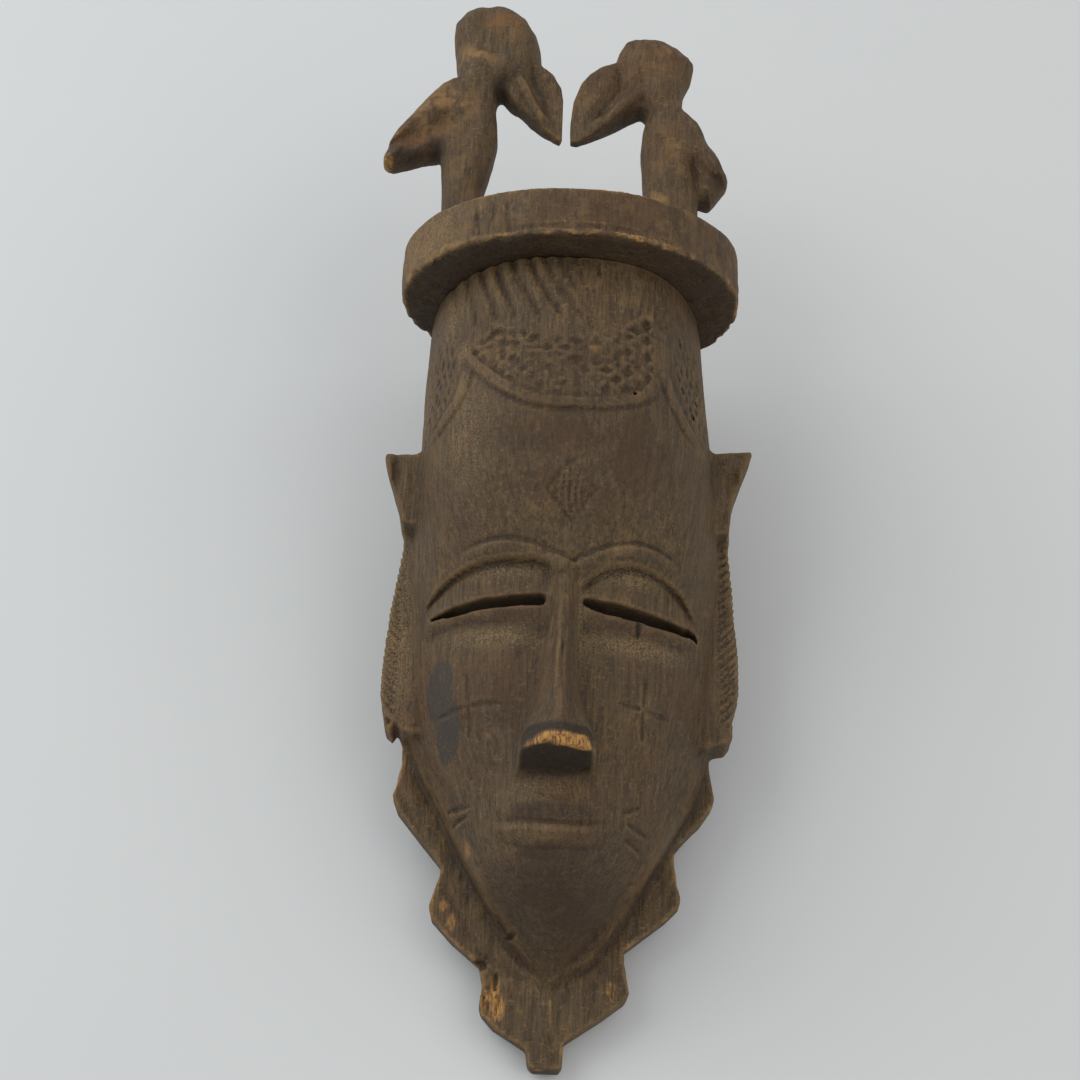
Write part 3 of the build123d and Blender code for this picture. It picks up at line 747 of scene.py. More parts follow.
def carve_disc():
    """Oval disc with a bevelled under-edge, faint triangles round it and a rough front ledge."""
    block = Block((-65, -94, disc_bottom - 1), (65, 1, rim_top + 1), CROWN_STEP)
    x, y, z = block.x, block.y, block.z
    lift = z - disc_bottom
    across, inward = x / DISC_HALF_WIDTH, (y - DISC_CENTRE_Y) / DISC_HALF_DEPTH
    radius = np.hypot(across, inward)
    slope = np.hypot(across / DISC_HALF_WIDTH, inward / DISC_HALF_DEPTH) / np.maximum(radius, 0.05)
    side = (radius - 1) / slope
    turn = np.arctan2(-inward, across)
    swell = 0.5 * np.cos(np.pi * (lift / (rim_top - disc_bottom) - 0.55)) - 0.5
    field = merge_max(side - swell * 0.7, np.maximum(-lift, z - rim_top), 0.3)
    tall = 0.5 + 0.8 * ease(-np.cos(turn), 0.30, 0.95) * ease(-y, 4, 20)
    wide = 0.9 * tall
    bevel = (side * tall - (lift - tall) * wide) / np.hypot(tall, wide)
    field = merge_max(field, bevel, 0.8)

    # scored triangles round the rim, worn away in places
    rim_zone = ease(side, -3.5, -1.6) * ease(-y, 1, 6)
    phase = turn * RIM_RADIUS / TOOTH_PITCH + 0.22 * np.sin(turn * 3 + 1) + 0.3
    from_line = lift - 4.6 - 22 * np.abs(phase - np.round(phase))
    patchy = 0.25 + 0.75 * ease(noise_3d(block, (21, 21, 60), 31), -0.1, 0.5)
    scored = 0.60 * vee(np.abs(from_line) * 0.62, 1.5) + 0.40 * ease(from_line, 0.4, 2.4)
    field = field + rim_zone * patchy * scored * ease(lift, 3, 5)

    # upright knife cuts and the ledge of small ticks at the front
    front = rim_zone * ease(-y, 70, 80)
    for cut_x, depth in FRONT_CUTS:
        cut = vee(np.abs(x - cut_x + 0.12 * (lift - 9)), 1.3)
        field = field + depth * front * cut * band(lift, 2, 4, 13, 17)
    ticks = 0.25 + 0.45 * np.abs(np.sin(x * 2 + 0.6 * np.sin(x * 0.7)))
    ledge = np.exp(-((x - 1) / 25) ** 6)
    field = field + front * ledge * ticks * hump(lift - 3.6, 1.3)
    field = field - 0.30 * front * hump(lift - 1.9 - 0.25 * np.sin(x * 0.33), 0.9)

    calm = 1 - 0.9 * ease(z, rim_top - 2.6, rim_top - 0.6)
    for cell, depth, seed in (
        ((11, 11, 7), 0.55, 32), ((4, 4, 5), 0.36, 33), ((1.7, 1.7, 3), 0.22, 34),
    ):
        field = field + depth * calm * noise_3d(block, cell, seed)
    gouges, nicks = noise_3d(block, (16, 5, 30), 35), noise_3d(block, (5, 5, 3), 36)
    field = field + 0.4 * ease(gouges, 0.1, 0.8) * ease(-lift, -2.5, -0.5)
    corner = ease(side, -3.2, -1.2) * hump(np.abs(lift - 0.4), 1.8)
    field = field + 0.8 * corner * ease(nicks, 0.25, 0.8)
    limits = np.maximum(y + BACK_CLEARANCE, np.maximum(0.02 - lift, z - rim_top + 0.05))
    return block, np.maximum(np.maximum(field, limits), side)


# ---- the birds

BIRD_Y = -42.0


def slab(block, outline, half_thickness, rounding):
    """Cushion-edged slab from an (x, z) outline, centred on the birds' plane."""
    flat = inside_outline(block.flat_x, block.flat_z, outline)
    return plate(flat, block.y, BIRD_Y - half_thickness, BIRD_Y + half_thickness, rounding)


def facets(block, seed, count=3):
    """Gentle flat planes left by a knife, as a small signed offset."""
    draw = np.random.default_rng(seed)
    offset = np.zeros(1, dtype=np.float32)
    for _ in range(count):
        angle, rise = draw.uniform(0, 2 * math.pi), draw.uniform(-0.5, 0.5)
        pitch, start = draw.uniform(9, 16), draw.uniform(0, 1)
        along = block.x * math.cos(angle) + block.z * math.sin(angle) + (block.y - BIRD_Y) * rise
        along = along / pitch + start
        offset = offset + np.abs(along - np.round(along))
    return (offset / count - 0.25).astype(np.float32)


def crease(block, points, half_width, depth, shape=vee):
    """Valley (+) or ridge (-) along a line, on both sides of a bird."""
    distance, along = away_from(block.flat_x, block.flat_z, points)
    worn = ease(along, 0, 0.15) * (1 - 0.8 * ease(along, 0.75, 1))
    return (depth * shape(distance, half_width) * worn)[:, None, :]


def carve_bird(shape):
    """One bird: post and breast, skull, beak, tail and the long folded wing over it."""
    low_x, high_x = shape["span_x"]
    root_x, root_z = shape["beak_root"]
    edge, seed, top = shape["wing_edge"], shape["seed"], shape["top"]
    block = Block((low_x - 1, BIRD_Y - 13, disc_top - 0.6), (high_x + 1, BIRD_Y + 13, top + 1),
                  BIRD_STEP)
    aside = np.abs(block.y - BIRD_Y)
    field = slab(block, shape["post"], 9.6, 7.5)
    field = merge(field, slab(block, shape["skull"], 10.4, 10), 2.5)
    beak = slab(block, shape["beak"], 8.4, 6.5)
    thin = aside - 8.8 + 0.17 * np.hypot(block.x - root_x, block.z - root_z)
    beak = merge_max(beak, thin, 1) + crease(block, shape["beak_crease"], 4.2, 2.7)
    beak = beak - crease(block, shape["beak_ridge"], 2.6, 1.5, hump)
    field = merge(field, beak, 1)
    field = merge(field, slab(block, shape["tail"], 7.6, 6.4), 1.4)
    field = merge(field, slab(block, shape["wing"], 10.2, 5.6), 1.2)
    field = field - crease(block, edge, 2.2, 0.35, hump)
    field = field + crease(block, [(x, z - 3.2) for x, z in edge], 3.2, 1, hump)
    inner = ease(aside, 2, 6)
    field = field + (0.9 + 2.2 * inner) * facets(block, seed)
    field = field + (0.08 + 0.24 * inner) * noise_3d(block, (7, 7, 9), seed + 1)
    field = field + (0.06 + 0.08 * inner) * noise_3d(block, (2.2, 2.2, 4), seed + 2)
    field = field + 0.05 * noise_3d(block, (0.9, 0.9, 8), seed + 3)
    past_ends = np.maximum(low_x - block.x, block.x - high_x)
    past_height = np.maximum(rim_top + 0.02 - block.z, block.z - top)
    return block, np.maximum(field, np.maximum(past_ends, past_height))


BIRD_LEFT = {
    "span_x": (-73.8, -5.2),
    "top": 410.4,
    "seed": 41,
    "post": [
        (-50, 293), (-35.6, 293), (-35.2, 312), (-34.9, 322.6), (-33.9, 326.9), (-31.5, 336.6),
        (-30.2, 346.4), (-30.5, 354.2), (-31.5, 362.5), (-30.4, 368), (-30, 384), (-45.4, 386),
        (-46, 375.9), (-51, 366), (-52, 338.6), (-51.4, 333.9), (-50.3, 314.9),
    ],
    "skull": [
        (-46.2, 374), (-47.7, 380.3), (-49.2, 395.5), (-49.1, 401), (-45.5, 405.4),
        (-38.9, 408.6), (-32.2, 409.2), (-25.3, 406.9), (-20.1, 402), (-16.5, 395.9),
        (-14.8, 388.8), (-14, 382.7), (-17.5, 374), (-29, 367), (-40, 368),
    ],
    "beak": [
        (-30.4, 368.2), (-24.8, 363), (-18.2, 357), (-13.4, 352.6), (-9.4, 350.2), (-6.1, 347.5),
        (-5.2, 350), (-5.2, 365.8), (-5.8, 371.5), (-9.5, 376.6), (-14, 381.8), (-24, 388),
        (-34, 386),
    ],
    "beak_root": (-26, 382),
    "beak_crease": [(-20.5, 379), (-17.4, 373.6), (-13.1, 365.7), (-9.6, 355.6)],
    "beak_ridge": [(-24, 374), (-20.4, 367.6), (-14.6, 358), (-8.4, 350)],
    "tail": [
        (-44, 374), (-48.8, 370), (-59, 358), (-65.9, 350.2), (-71.4, 342.6), (-73.8, 337.4),
        (-73.8, 334.8), (-72.5, 333.5), (-70, 332.9), (-62, 335.6), (-52.3, 338.4), (-44, 341),
        (-38, 352),
    ],
    "wing": [
        (-40, 376), (-48.8, 372.4), (-52.7, 369.2), (-59.7, 361), (-65.7, 352), (-69.8, 345),
        (-71.4, 341.4), (-67.4, 342.4), (-62.2, 345.4), (-56.3, 349.4), (-46, 355.6), (-38, 359),
        (-32, 361), (-31, 370),
    ],
    "wing_edge": [(-68, 342.8), (-56.3, 349.4), (-46, 355.6), (-38, 359)],
}
BIRD_RIGHT = {
    "span_x": (-2.1, 59),
    "top": 397.1,
    "seed": 51,
    "post": [
        (26.8, 293), (47.6, 293), (47.4, 320.3), (46.5, 332.9), (47.5, 346), (43, 357),
        (40.6, 364.5), (40, 376), (25, 376), (27.5, 358.8), (26.1, 350.4), (25.6, 341.1),
        (26.5, 326.6),
    ],
    "skull": [
        (14.2, 382), (16.2, 388.6), (18.5, 393), (22.4, 395.4), (26.4, 395.7), (34.3, 394.4),
        (39.9, 391.8), (44.3, 387.5), (45.8, 384.1), (44.6, 377.4), (41.9, 370.7), (40.6, 364.5),
        (36, 361), (27, 361), (16, 371),
    ],
    "beak": [
        (29, 361), (24.9, 361.4), (18.7, 359.3), (10.1, 353.3), (4, 349.1), (0.5, 347.1),
        (-2.1, 347.3), (-2.1, 354.7), (-1.2, 365.1), (1.6, 372.9), (4.6, 377.2), (8.5, 380.7),
        (14.5, 383.5), (24, 386), (32, 378),
    ],
    "beak_root": (24, 378),
    "beak_crease": [(18, 380), (17.4, 372.4), (11.1, 362.9), (6.6, 355.3)],
    "beak_ridge": [(27, 370), (20, 363.6), (12, 357.4), (4, 351.6)],
    "tail": [
        (40, 360), (48, 350), (53.4, 340), (59, 331.3), (58.8, 329.5), (56.5, 325.8),
        (52.6, 320.7), (47.2, 321.8), (45, 330), (40, 345),
    ],
    "wing": [
        (38, 367), (40.6, 363), (44.9, 358.2), (49.6, 350.1), (54.2, 340.2), (59, 331.3),
        (57.4, 328.6), (53, 329.6), (49.6, 333), (46.4, 337.4), (40, 340.6), (34.6, 341.6),
        (30, 345.5), (28.6, 352), (30, 361),
    ],
    "wing_edge": [(57, 329), (50.4, 332.4), (46.4, 337.4), (40, 340.6), (34.6, 341.6)],
}


# ---- meshes

def mesh_from(name, block, field, marks):
    """Closed mesh on the zero surface, carrying edge and hollow values for rubbed edges and
    painted shade, and the marks for wear, stains and painted shade.
    """
    step = block.step
    padded = np.clip(field, -3 * step, 3 * step).astype(np.float32)
    for side in (0, -1):
        padded[side], padded[:, side], padded[:, :, side] = (3 * step,) * 3
    grid = openvdb.FloatGrid(3 * step)
    grid.copyFromArray(np.ascontiguousarray(padded))
    places, quads = grid.convertToQuads(0.0)
    places = np.asarray(places, dtype=np.float64)
    quads = np.asarray(quads, dtype=np.int64)
    spots = places * step + block.low

    nearest = tuple(np.clip(np.rint(places).astype(int), 0, np.array(field.shape) - 1).T)
    values = marks(spots)
    for key, limit, reach, scale in (("edge", 4, 1.1, 0.5), ("broad", 8, 3, 1.6)):
        around = box_blur(np.clip(field, -limit, limit), max(1, round(reach / step)))
        values[key] = (around[nearest] - field[nearest]) / scale

    mesh = bpy.data.meshes.new(name)
    mesh.vertices.add(len(places))
    mesh.vertices.foreach_set("co", metres(spots).ravel())
    mesh.loops.add(quads.size)
    mesh.loops.foreach_set("vertex_index", quads[:, ::-1].ravel())
    mesh.polygons.add(len(quads))
    mesh.polygons.foreach_set("loop_start", np.arange(0, quads.size, 4))
    mesh.polygons.foreach_set("loop_total", np.full(len(quads), 4))
    mesh.update(calc_edges=True)
    mesh.validate()
    for key, value in values.items():
        attribute = mesh.attributes.new(key, "FLOAT", "POINT")
        attribute.data.foreach_set("value", np.asarray(value, dtype=np.float32))
    mesh.polygons.foreach_set("use_smooth", np.ones(len(mesh.polygons), dtype=bool))
    mesh.update()
    piece = bpy.data.objects.new(name, mesh)
    bpy.context.collection.objects.link(piece)
    return piece


# ---- materials

class Nodes:
    """Short way to build a material's nodes."""

    def __init__(self, name):
        self.material = bpy.data.materials.new(name)
        self.material.use_nodes = True
        self.tree = self.material.node_tree
        self.tree.nodes.clear()
        self.place = self.add("ShaderNodeTexCoord").outputs["Object"]

    def add(self, kind, inputs=None, **settings):
        """New node, with its settings and with values or sockets fed into its inputs."""
        node = self.tree.nodes.new(kind)
        for key, value in settings.items():
            setattr(node, key, value)
        for key, value in (inputs or {}).items():
            if isinstance(value, bpy.types.NodeSocket):
                self.tree.links.new(value, node.inputs[key])
            else:
                node.inputs[key].default_value = value
        return node

    def times(self, a, b):
        return self.add("ShaderNodeMath", {0: a, 1: b}, operation="MULTIPLY").outputs[0]

    def plus(self, a, b):
        return self.add("ShaderNodeMath", {0: a, 1: b}, operation="ADD").outputs[0]

    def noise(self, scale, detail=4.0, roughness=0.55, stretch=(1.0, 1.0, 1.0), distortion=0.0):
        """Noise with scale in cells per metre, stretched by a factor along each axis."""
        mapping = self.add("ShaderNodeMapping", {"Vector": self.place, "Scale": stretch})
        return self.add("ShaderNodeTexNoise", {
            "Vector": mapping.outputs[0], "Scale": scale, "Detail": detail,
            "Roughness": roughness, "Distortion": distortion,
        }).outputs["Fac"]

    def mark(self, name):
        return self.add("ShaderNodeAttribute", attribute_name=name).outputs["Fac"]

    def between(self, value, low, high, out_low=0.0, out_high=1.0):
        inputs = dict(enumerate((value, low, high, out_low, out_high)))
        return self.add("ShaderNodeMapRange", inputs, interpolation_type="SMOOTHSTEP").outputs[0]

    def mix(self, share, a, b):
        return self.add("ShaderNodeMix", {0: share, 6: a, 7: b}, data_type="RGBA").outputs[2]

    def coat(self, base, amount, strength, tint):
        """Base colour with another laid over it by amount times strength."""
        return self.mix(self.times(amount, strength), base, tint)

    def surface(self, base, roughness, height, distance, strength=1.0, specular=0.5):
        """Finish the material as a bumped surface."""
        bump = self.add("ShaderNodeBump", {
            "Strength": strength, "Distance": distance, "Height": height,
        })
        shader = self.add("ShaderNodeBsdfPrincipled", {
            "Base Color": base, "Roughness": roughness, "Normal": bump.outputs[0],
            "Specular IOR Level": specular,
        })
        self.add("ShaderNodeOutputMaterial", {"Surface": shader.outputs[0]})
        return self.material


def colour(red, green, blue):
    """Linear colour from familiar 0 to 255 values."""
    return tuple(
        (c / 255 / 12.92 if c / 255 <= 0.04045 else ((c / 255 + 0.055) / 1.055) ** 2.4)
        for c in (red, green, blue)
    ) + (1.0,)


WOOD_DARK = colour(64, 50, 32)
WOOD_MID = colour(96, 76, 50)
WOOD_WARM = colour(92, 63, 38)
WOOD_PALE = colour(135, 108, 71)
WOOD_DEEP = colour(31, 23, 15)
# dark brown for painted shade under overhangs and in cracks
PAINTED_SHADE_DARK = colour(26, 18, 12)
# dark reddish brown, also used for painted shade
RUDDY_AND_SHADE = colour(60, 40, 25)
WORN = colour(140, 108, 66)
RAW = colour(180, 134, 74)
SPLINTER = colour(98, 62, 34)
EMBER = colour(126, 86, 46)
DUST = colour(152, 129, 92)
STAIN = colour(50, 48, 46)


def carved_wood(name, warmth=0.35):
    """Old dark wood: long grain, rubbed arrises, dirt and painted shade in the hollows, dust,
    stains, raw chips and painted shade where the marks put it.
    """
    n = Nodes(name)
    grain = n.noise(620.0, 5.0, 0.62, (1.0, 1.0, 0.075), 0.4)
    fibre = n.noise(1350.0, 3.0, 0.65, (1.0, 1.0, 0.13))
    cross = n.noise(1050.0, 4.0, 0.70, (0.40, 1.0, 0.8))
    cloud = n.noise(26.0, 4.0, 0.6)
    blotch = n.noise(75.0, 5.0, 0.65, distortion=0.6)
    patch = n.noise(150.0, 4.0, 0.6, distortion=0.4)
    speck = n.noise(1500.0, 3.0, 0.7)
    edge, broad = n.mark("edge"), n.mark("broad")

    base = n.mix(n.between(grain, 0.28, 0.74), WOOD_DARK, WOOD_MID)
    for pattern, low, high, strength, tint in (
        (cloud, 0.42, 0.70, warmth, WOOD_WARM), (blotch, 0.50, 0.78, 0.40, WOOD_PALE),
        (blotch, 0.46, 0.24, 0.45, WOOD_DEEP), (fibre, 0.52, 0.34, 0.50, WOOD_DEEP),
        (cross, 0.54, 0.70, 0.42, WOOD_PALE), (speck, 0.60, 0.74, 0.45, DUST),
        (speck, 0.40, 0.28, 0.55, WOOD_DEEP),
    ):
        base = n.coat(base, n.between(pattern, low, high), strength, tint)

    # painted shade, with some dirt, darkening every hollow and groove of the carving
    hollow_shade_and_dirt = n.between(n.plus(edge, n.times(broad, 0.5)), -0.06, -0.90)
    base = n.coat(base, hollow_shade_and_dirt, 0.55, WOOD_DEEP)
    proud = n.plus(edge, n.times(n.plus(blotch, -0.5), 0.5))
    base = n.coat(base, n.between(proud, 0.15, 0.60), 0.22, WOOD_PALE)

    # ember, worn and dust patches; the ruddy mark adds reddish patches and, on the lower lids,
    # upper lip and birds' throats, painted shade
    for mark, pattern, low, high, strength, tint in (
        ("ember", patch, 0.38, 0.60, 0.60, EMBER), ("pale", patch, 0.40, 0.60, 0.75, WORN),
        ("ruddy_and_painted_shade", blotch, 0.36, 0.60, 0.62, RUDDY_AND_SHADE), ("chalk", speck, 0.40, 0.66, 0.55, DUST),
    ):
        amount = n.times(n.mark(mark), n.between(pattern, low, high))
        base = n.coat(base, amount, strength, tint)
    base = n.coat(base, n.mark("stain"), n.between(cross, 0.30, 0.62, 1.0, 0.66), STAIN)
    # painted shade under the nose, lips, disc, beaks, wings and tails and in the lid crack, and
    # darker patches on the chin and in a border chip
    base = n.coat(base, n.mark("painted_shade_and_dark"), n.between(patch, 0.30, 0.50, 0.75, 0.95), PAINTED_SHADE_DARK)

    rub = n.mark("rub")
    worn = n.times(n.between(proud, 0.18, 0.60), n.between(patch, 0.40, 0.58))
    base = n.coat(base, worn, n.times(rub, 0.75), WORN)
    bare = n.times(n.between(proud, 0.46, 0.80), n.between(patch, 0.50, 0.62))
    base = n.coat(base, bare, rub, RAW)
    raw = n.mix(n.between(fibre, 0.35, 0.60), SPLINTER, RAW)
    # the raw chips get the same painted shade and dirt in their hollows
    raw = n.coat(raw, hollow_shade_and_dirt, 0.7, WOOD_DEEP)
    base = n.coat(base, n.mark("chip"), n.between(patch, 0.30, 0.46), raw)

    height = n.times(grain, 0.9)
    for pattern, share in ((fibre, 0.55), (cross, 0.45), (speck, 0.35)):
        height = n.plus(height, n.times(pattern, share))
    return n.surface(base, n.between(blotch, 0.30, 0.75, 0.58, 0.76), height, 0.0006, 0.85, 0.34)


def plain_peg_wood():
    """Turned hardwood for the hidden pegs."""
    n = Nodes("peg_wood")
    grain = n.noise(900.0, 4.0, 0.6, (1.0, 1.0, 0.06))
    base = n.mix(grain, colour(150, 112, 70), colour(196, 156, 108))
    return n.surface(base, n.between(grain, 0.3, 0.7, 0.5, 0.7), grain, 0.0002)


# ---- where wear, stains and painted shade lie

# Rows of centre, radii and strength, and a cap where the row has its own.  The birds' rows
# are measured from the birds' plane and the rim's from the underside of the disc.

# painted shade under the nose tip, on the upper lip, under the lower lip and in the right lid
# crack; a faint darker patch over the chin and dark in a border chip
MASK_SHADE_AND_DARK = [
    ((0, -56, 92.4), (13, 8, 4.4), 1.5, 0.75), ((2, -34, 50), (30, 40, 26), 0.6, 0.28),
    ((26.7, -50, 144.8), (1.1, 14, 3.4), 3, 0.85), ((-1, -54, 77.6), (15, 12, 3.4), 1, 0.42),
    ((-2, -51, 64.2), (17, 12, 3), 0.9, 0.36), ((-23.6, -9, 36.4), (3.6, 6, 3), 1.6, 0.8),
]
MASK_STAIN = [
    ((-41.2, -37, 123.6), (5.4, 34, 11.4), 1), ((-37.6, -36, 109.4), (4.6, 34, 11.4), 1),
]
# reddish patches on the chin, cheek, nose, forehead and sides; on the lips and the lower lids they
# are painted shade as well
MASK_RUDDY_AND_SHADE = [
    ((0, -36, 50), (32, 40, 24), 1.6), ((-22, -54, 112), (26, 26, 32), 1.3),
    ((-6, -66, 116), (6, 14, 30), 1), ((4, -70, 124), (5, 12, 34), 1.5),
    ((10, -72, 204), (52, 36, 30), 1.5), ((-20, -68, 206), (20, 22, 9), 1.6),
    ((2, -76, 188), (9, 12, 11), 1.3), ((26, -52, 66), (26, 34, 34), 0.7),
    ((46, -40, 120), (16, 30, 50), 0.8), ((6, -78, 232), (30, 20, 14), 0.9),
    ((-3, -55, 77.4), (20, 14, 4.8), 2.4), ((-2, -52, 64.6), (17, 14, 3.6), 2.2),
    ((0, -50, 64), (20, 16, 5), 1.2), ((-24, -50, 147.6), (24, 24, 4.6), 1.6),
    ((27, -50, 145), (26, 24, 4.6), 1.5),
]
MASK_CHALK = [
    ((-22, -56, 162.4), (26, 14, 4.6), 0.9), ((25, -54, 161.6), (22, 14, 5), 1.125),
    ((27, -50, 138), (32, 18, 6.4), 1.275), ((-24, -52, 139.6), (22, 16, 6), 1.05),
    ((-6, -55, 86), (18, 14, 4.6), 0.6), ((-60, -16, 150), (12, 26, 50), 1.35),
    ((62, -16, 150), (10, 26, 50), 0.6), ((-2, -56, 92), (10, 6, 1.6), 1.5),
    ((-34, -62, 214), (14, 24, 34), 0.75), ((-42, -52, 262), (10, 24, 18), 1.2),
    ((-54, -30, 235), (8, 30, 30), 0.9), ((7.5, -60, 140), (4, 10, 24), 1.5),
    ((-6, -60, 128), (4, 10, 24), 0.45), ((-38, -62, 243), (5, 8, 6), 1.5),
]
MASK_PALE = [
    ((10, -65, 169.5), (1.8, 5, 1.5), 3), ((-23.3, -50, 105.6), (2.6, 6, 2.2), 2.4),
    ((8.2, -80, 240), (2.2, 6, 5.4), 1.6), ((12.4, -79, 228.4), (2.6, 5, 1), 3),
    ((-29.6, -26, 70), (1.6, 9, 4), 1.6),
]
BIRD_CHIP = [((-72.5, -3, 334.5), (3.6, 9, 3.4), 1)]
# painted shade at the throats, under the left beak and under the wings and tails
BIRD_PAINTED_SHADE = [
    ((-29.8, -8, 366.5), (4.4, 10, 7), 1.3), ((-19, -8, 354), (4, 10, 7), 0.8),
    ((-65, -7, 336.4), (9, 10, 4.4), 1.1), ((-53.6, -7, 339), (4.6, 10, 6), 1.1),
    ((54.4, -6, 330), (6, 10, 8), 0.8), ((25, -9, 360), (8, 8, 4), 0.7),
]
# reddish brown on the left post, and at the throats and under the wings and tail, where it is
# painted shade as well
BIRD_RUDDY_AND_SHADE = [
    ((-30, -9, 371), (5, 9, 9), 2), ((-56, -7, 340), (12, 9, 7), 1.6),
    ((53, -6, 332), (8, 10, 11), 2), ((-34, -9, 322), (5, 9, 18), 1.4),
    ((21, -8, 366), (9, 9, 6), 1.2),
]
BIRD_EMBER = [
    ((-28, -10, 396), (12, 12, 10), 1.5), ((-60, -8, 343), (9, 12, 7), 1.3),
    ((53, -6, 330), (9, 14, 10), 0.8), ((34, -10, 388), (9, 9, 7), 0.7),
]
BIRD_PALE = [
    ((-41, -10, 380), (14, 12, 11), 1.2), ((29, -10, 379), (14, 12, 12), 0.4),
    ((-54, -9, 358), (20, 12, 16), 1.3), ((-42, -9, 326), (10, 10, 30), 0.35),
    ((36, -9, 336), (12, 10, 24), 0.5), ((32.5, -9, 316), (5, 9, 13), 1.9),
    ((42, -9, 306), (6, 9, 9), 1.9), ((36, -9, 299), (10, 9, 5), 1.9),
    ((-9, -8, 353), (7, 9, 12), 0.8),
]
RIM_PALE = [
    ((-45, -75, 2.2), (9, 12, 2.2), 2.4), ((-60, -50, 1.6), (5, 12, 2.2), 2.4),
    ((-33, -84, 2), (8, 8, 1.8), 1.5), ((0, -93, rim_top - disc_bottom), (34, 8, 1.6), 1.6),
    ((42, -80, disc_top - disc_bottom - 2), (10, 10, 3), 1.4), ((0, -93, 1.4), (30, 6, 1.2), 0.9),
]
RIM_CHALK = [((-54, -66, 11), (24, 28, 18), 1.6)]

def closeness(spots, centre, radii):
    """1 at a centre and 0 at an egg-shaped limit round it."""
    away = np.sqrt((((spots - np.array(centre)) / np.array(radii)) ** 2).sum(axis=1))
    return np.clip(1 - away, 0, 1)


def strongest(spots, places, origin=(0, 0, 0), cap=1):
    """Highest mark over rows of centre, radii, strength and, where given, the row's own cap."""
    spots = spots - np.array(origin)
    return np.maximum.reduce([
        np.minimum(strength * closeness(spots, centre, radii), min([cap, *own_cap]))
        for centre, radii, strength, *own_cap in places
    ])


def mask_marks(spots):
    """Raw chips, blue-black stain, reddish patches, chalky dust, rubbed places and painted shade
    on the mask.
    """
    x, y, z = spots.T
    chip = np.maximum.reduce([
        bare * ease(closeness(spots, centre, np.array(radii) + 1), 0.10, 0.35)
        for centre, radii, bare in CHIPS
    ])

    # the cut end of the nose: raw wood in a lens along its front, painted shade on the underside
    # behind it and a darker band above it
    from_front = NOSE_TIP - 0.62 * np.maximum(np.abs(x + 0.4) - 2, 0) + y
    lens = 0.5 + 3 * np.exp(-(((x - 1) / 5.4) ** 2)) + 0.9 * band(x, 2, 6, 8, 11)
    on_tip = band(z, 88, 90, 99, 100) * fade(np.abs(x + 0.6), 11.2, 12.4)
    tip = on_tip * fade(from_front, lens - 1, lens) * ease(-y, 62, 64)
    under_nose = on_tip * ease(from_front, lens - 1.2, lens) * ease(-y, 54, 57)
    over_tip = band(z, 98.2, 99.2, 102.2, 104.4) * ease(-y, 64, 66.5) * fade(np.abs(x), 12.5, 13.5)
    # painted shade on the bottom face of the chin
    foot = fade(z, 0.6, 1.6) * ease(-y, 0.5, 2)
    painted_shade_and_dark = np.maximum.reduce([
        0.85 * under_nose, 0.8 * over_tip, 0.6 * foot, strongest(spots, MASK_SHADE_AND_DARK),
    ])
    stain = ease(strongest(spots, MASK_STAIN), 0, 0.16) * ease(-y, 12, 18) * 0.86
    return {
        "chip": np.maximum(chip, tip), "painted_shade_and_dark": painted_shade_and_dark, "stain": stain,
        "ruddy_and_painted_shade": strongest(spots, MASK_RUDDY_AND_SHADE), "chalk": strongest(spots, MASK_CHALK),
        "pale": strongest(spots, MASK_PALE), "rub": 0.05 + 0.25 * ease(y, -24, -12),
    }


def bird_marks(spots):
    """Ember patch on the left skull, worn necks, feet and beak ridges, a bare tail tip, reddish
    patches, and painted shade at the throats and under the beaks, wings and tails.
    """
    plane = (0, BIRD_Y, 0)
    return {
        "chip": 0.9 * ease(strongest(spots, BIRD_CHIP, plane), 0.1, 0.5),
        "painted_shade_and_dark": strongest(spots, BIRD_PAINTED_SHADE, plane, 0.7),
        "ruddy_and_painted_shade": strongest(spots, BIRD_RUDDY_AND_SHADE, plane),
        "ember": strongest(spots, BIRD_EMBER, plane),
        "pale": strongest(spots, BIRD_PALE, plane),
        "rub": np.full(len(spots), 0.45),
    }


def rim_marks(spots):
    """Bare wood along parts of the disc's rim and where its under-edge is broken, dust on the left
    of the rim, a reddish tone towards the right, and painted shade on the disc's underside.
    """
    x, y, z = spots.T
    lift = z - disc_bottom
    under = (0, 0, disc_bottom)
    right = ease(x, 40, 48) * fade(np.abs(lift - 0.9), 0.5, 1.5) * ease(-y, 20, 40)
    on_rim = ease(np.hypot(x / DISC_HALF_WIDTH, (y - DISC_CENTRE_Y) / DISC_HALF_DEPTH),
                  0.955, 0.985)
    pale = np.maximum.reduce([strongest(spots, RIM_PALE, under, 3), 1.2 * right])
    return {
        "pale": np.clip(np.maximum(pale, 0.28) * on_rim, 0, 1),
        "chalk": np.minimum(strongest(spots, RIM_CHALK, under, 3) * on_rim, 1),
        # darker reddish tone over the right part of the rim
        "ruddy_and_painted_shade": 0.8 * ease(x, -40, 0) * on_rim,
        # painted shade on the underside of the disc, stronger on the left
        "painted_shade_and_dark": (0.62 - 0.2 * ease(x, -40, 10)) * fade(lift, 0.3, 1),
        "rub": np.full(len(spots), 0.7),
    }


# ---- putting it together

def place(piece, node, slot, material):
    piece.data.materials.append(material)
    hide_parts(node)
    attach(piece, "root")


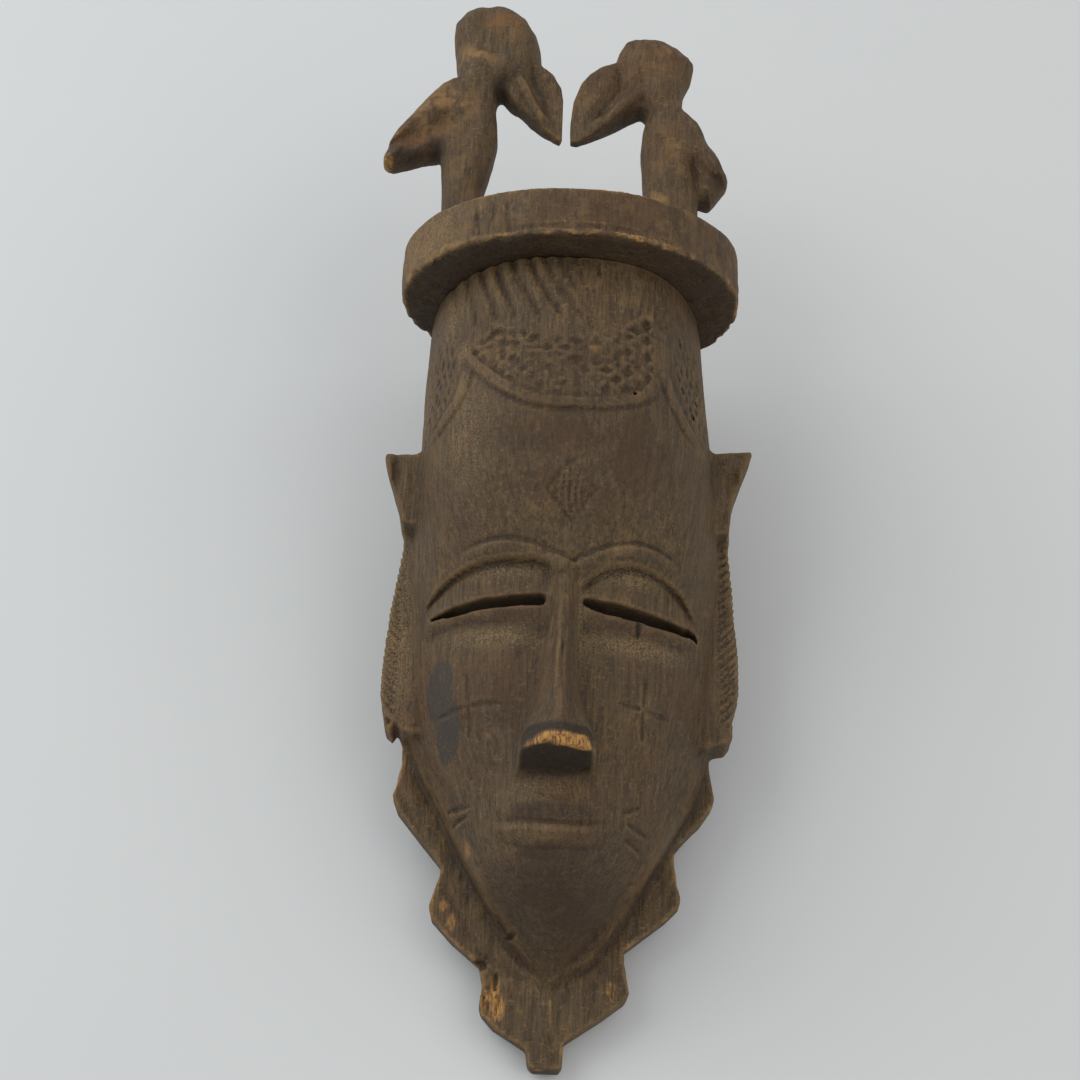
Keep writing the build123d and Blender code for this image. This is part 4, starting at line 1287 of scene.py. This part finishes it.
place(mesh_from("mask_carving", *carve_mask(), mask_marks), "mask_body", "mask_wood",
      carved_wood("mask_wood"))
place(mesh_from("crown_disc_carving", *carve_disc(), rim_marks), "crown_disc", "crown_wood",
      carved_wood("crown_wood", warmth=0.6))
bird_wood = carved_wood("bird_wood", warmth=0.65)
place(mesh_from("bird_left_carving", *carve_bird(BIRD_LEFT), bird_marks), "bird_left", "bird_wood",
      bird_wood)
place(mesh_from("bird_right_carving", *carve_bird(BIRD_RIGHT), bird_marks), "bird_right",
      "bird_wood", bird_wood)

peg_wood = plain_peg_wood()
for node_name in ("crown_dowel_left", "crown_dowel_right", "bird_left_dowel", "bird_right_dowel"):
    peg = frame["nodes"][node_name]
    if not peg.material_slots:
        peg.data.materials.append(peg_wood)
    for peg_slot in peg.material_slots:
        peg_slot.material = peg_wood


# ---- floor, light and camera

FLOOR_SLOPE = 9.0


def pale_floor():
    """Pale surface under the chin, sloping away behind the mask; it shows from the front only."""
    n = Nodes("pale_floor")
    shade = n.mix(n.noise(3.0, 3.0, 0.5), colour(199, 201, 202), colour(206, 208, 208))
    shader = n.add("ShaderNodeBsdfPrincipled", {"Base Color": shade, "Roughness": 0.85})
    choose = n.add("ShaderNodeMixShader", {
        0: n.add("ShaderNodeNewGeometry").outputs["Backfacing"],
        1: shader.outputs[0], 2: n.add("ShaderNodeBsdfTransparent").outputs[0],
    })
    n.add("ShaderNodeOutputMaterial", {"Surface": choose.outputs[0]})
    bpy.ops.mesh.primitive_plane_add(size=5.0, location=(0.0, 0.0015, chin_height),
                                     rotation=(math.radians(90 - FLOOR_SLOPE), 0, 0))
    floor = bpy.context.object
    floor.name = "floor"
    floor.data.materials.append(n.material)


def soft_light(name, place_at, aim, size, watts, tint):
    light = bpy.data.lights.new(name, "AREA")
    light.shape, light.size, light.size_y = "RECTANGLE", size[0], size[1]
    light.energy, light.color = watts, tint
    lamp = bpy.data.objects.new(name, light)
    lamp.location = place_at
    lamp.rotation_euler = (Vector(aim) - Vector(place_at)).to_track_quat("-Z", "Y").to_euler()
    bpy.context.collection.objects.link(lamp)


CAMERA_LEAN, CAMERA_ROLL = 23.0, 2.0
CAMERA_DISTANCE = 0.72
CAMERA_TARGET = (-0.0083, -0.035, 0.183)
FOCAL_PER_WIDTH = 2000.0 / 1080.0


def camera():
    """Looks up at the mask from the chin side, as the photographer did."""
    lean, roll = math.radians(CAMERA_LEAN), math.radians(CAMERA_ROLL)
    target = Vector(CAMERA_TARGET) + Vector((0.0, 0.0, chin_height))
    forward = Vector((0.0, math.cos(lean), math.sin(lean)))
    up = Vector((0.0, -math.sin(lean), math.cos(lean)))
    right = Vector((1.0, 0.0, 0.0))
    turned_up = up * math.cos(roll) - right * math.sin(roll)
    turned_right = right * math.cos(roll) + up * math.sin(roll)
    lens = bpy.data.cameras.new("camera")
    lens.sensor_width, lens.lens = 36.0, 36.0 * FOCAL_PER_WIDTH
    view_from = bpy.data.objects.new("camera", lens)
    axes = Matrix((turned_right, turned_up, -forward)).transposed()
    view_from.matrix_world = Matrix.Translation(target - forward * CAMERA_DISTANCE) @ axes.to_4x4()
    bpy.context.collection.objects.link(view_from)
    bpy.context.scene.camera = view_from


pale_floor()
middle = (0.0, -0.04, chin_height + 0.2)
soft_light("window", (-1.10, -0.98, 0.58), middle, (1.5, 1.5), 15.0, (0.98, 0.99, 1.0))
soft_light("fill", (1.1, -1.2, 0.0), middle, (1.6, 1.6), 7.2, (1.0, 0.975, 0.93))
world = bpy.data.worlds.new("room")
world.use_nodes = True
world.node_tree.nodes["Background"].inputs[0].default_value = (0.87, 0.88, 0.88, 1.0)
world.node_tree.nodes["Background"].inputs[1].default_value = 0.67
bpy.context.scene.world = world
bpy.context.scene.view_settings.view_transform = "Standard"
camera()
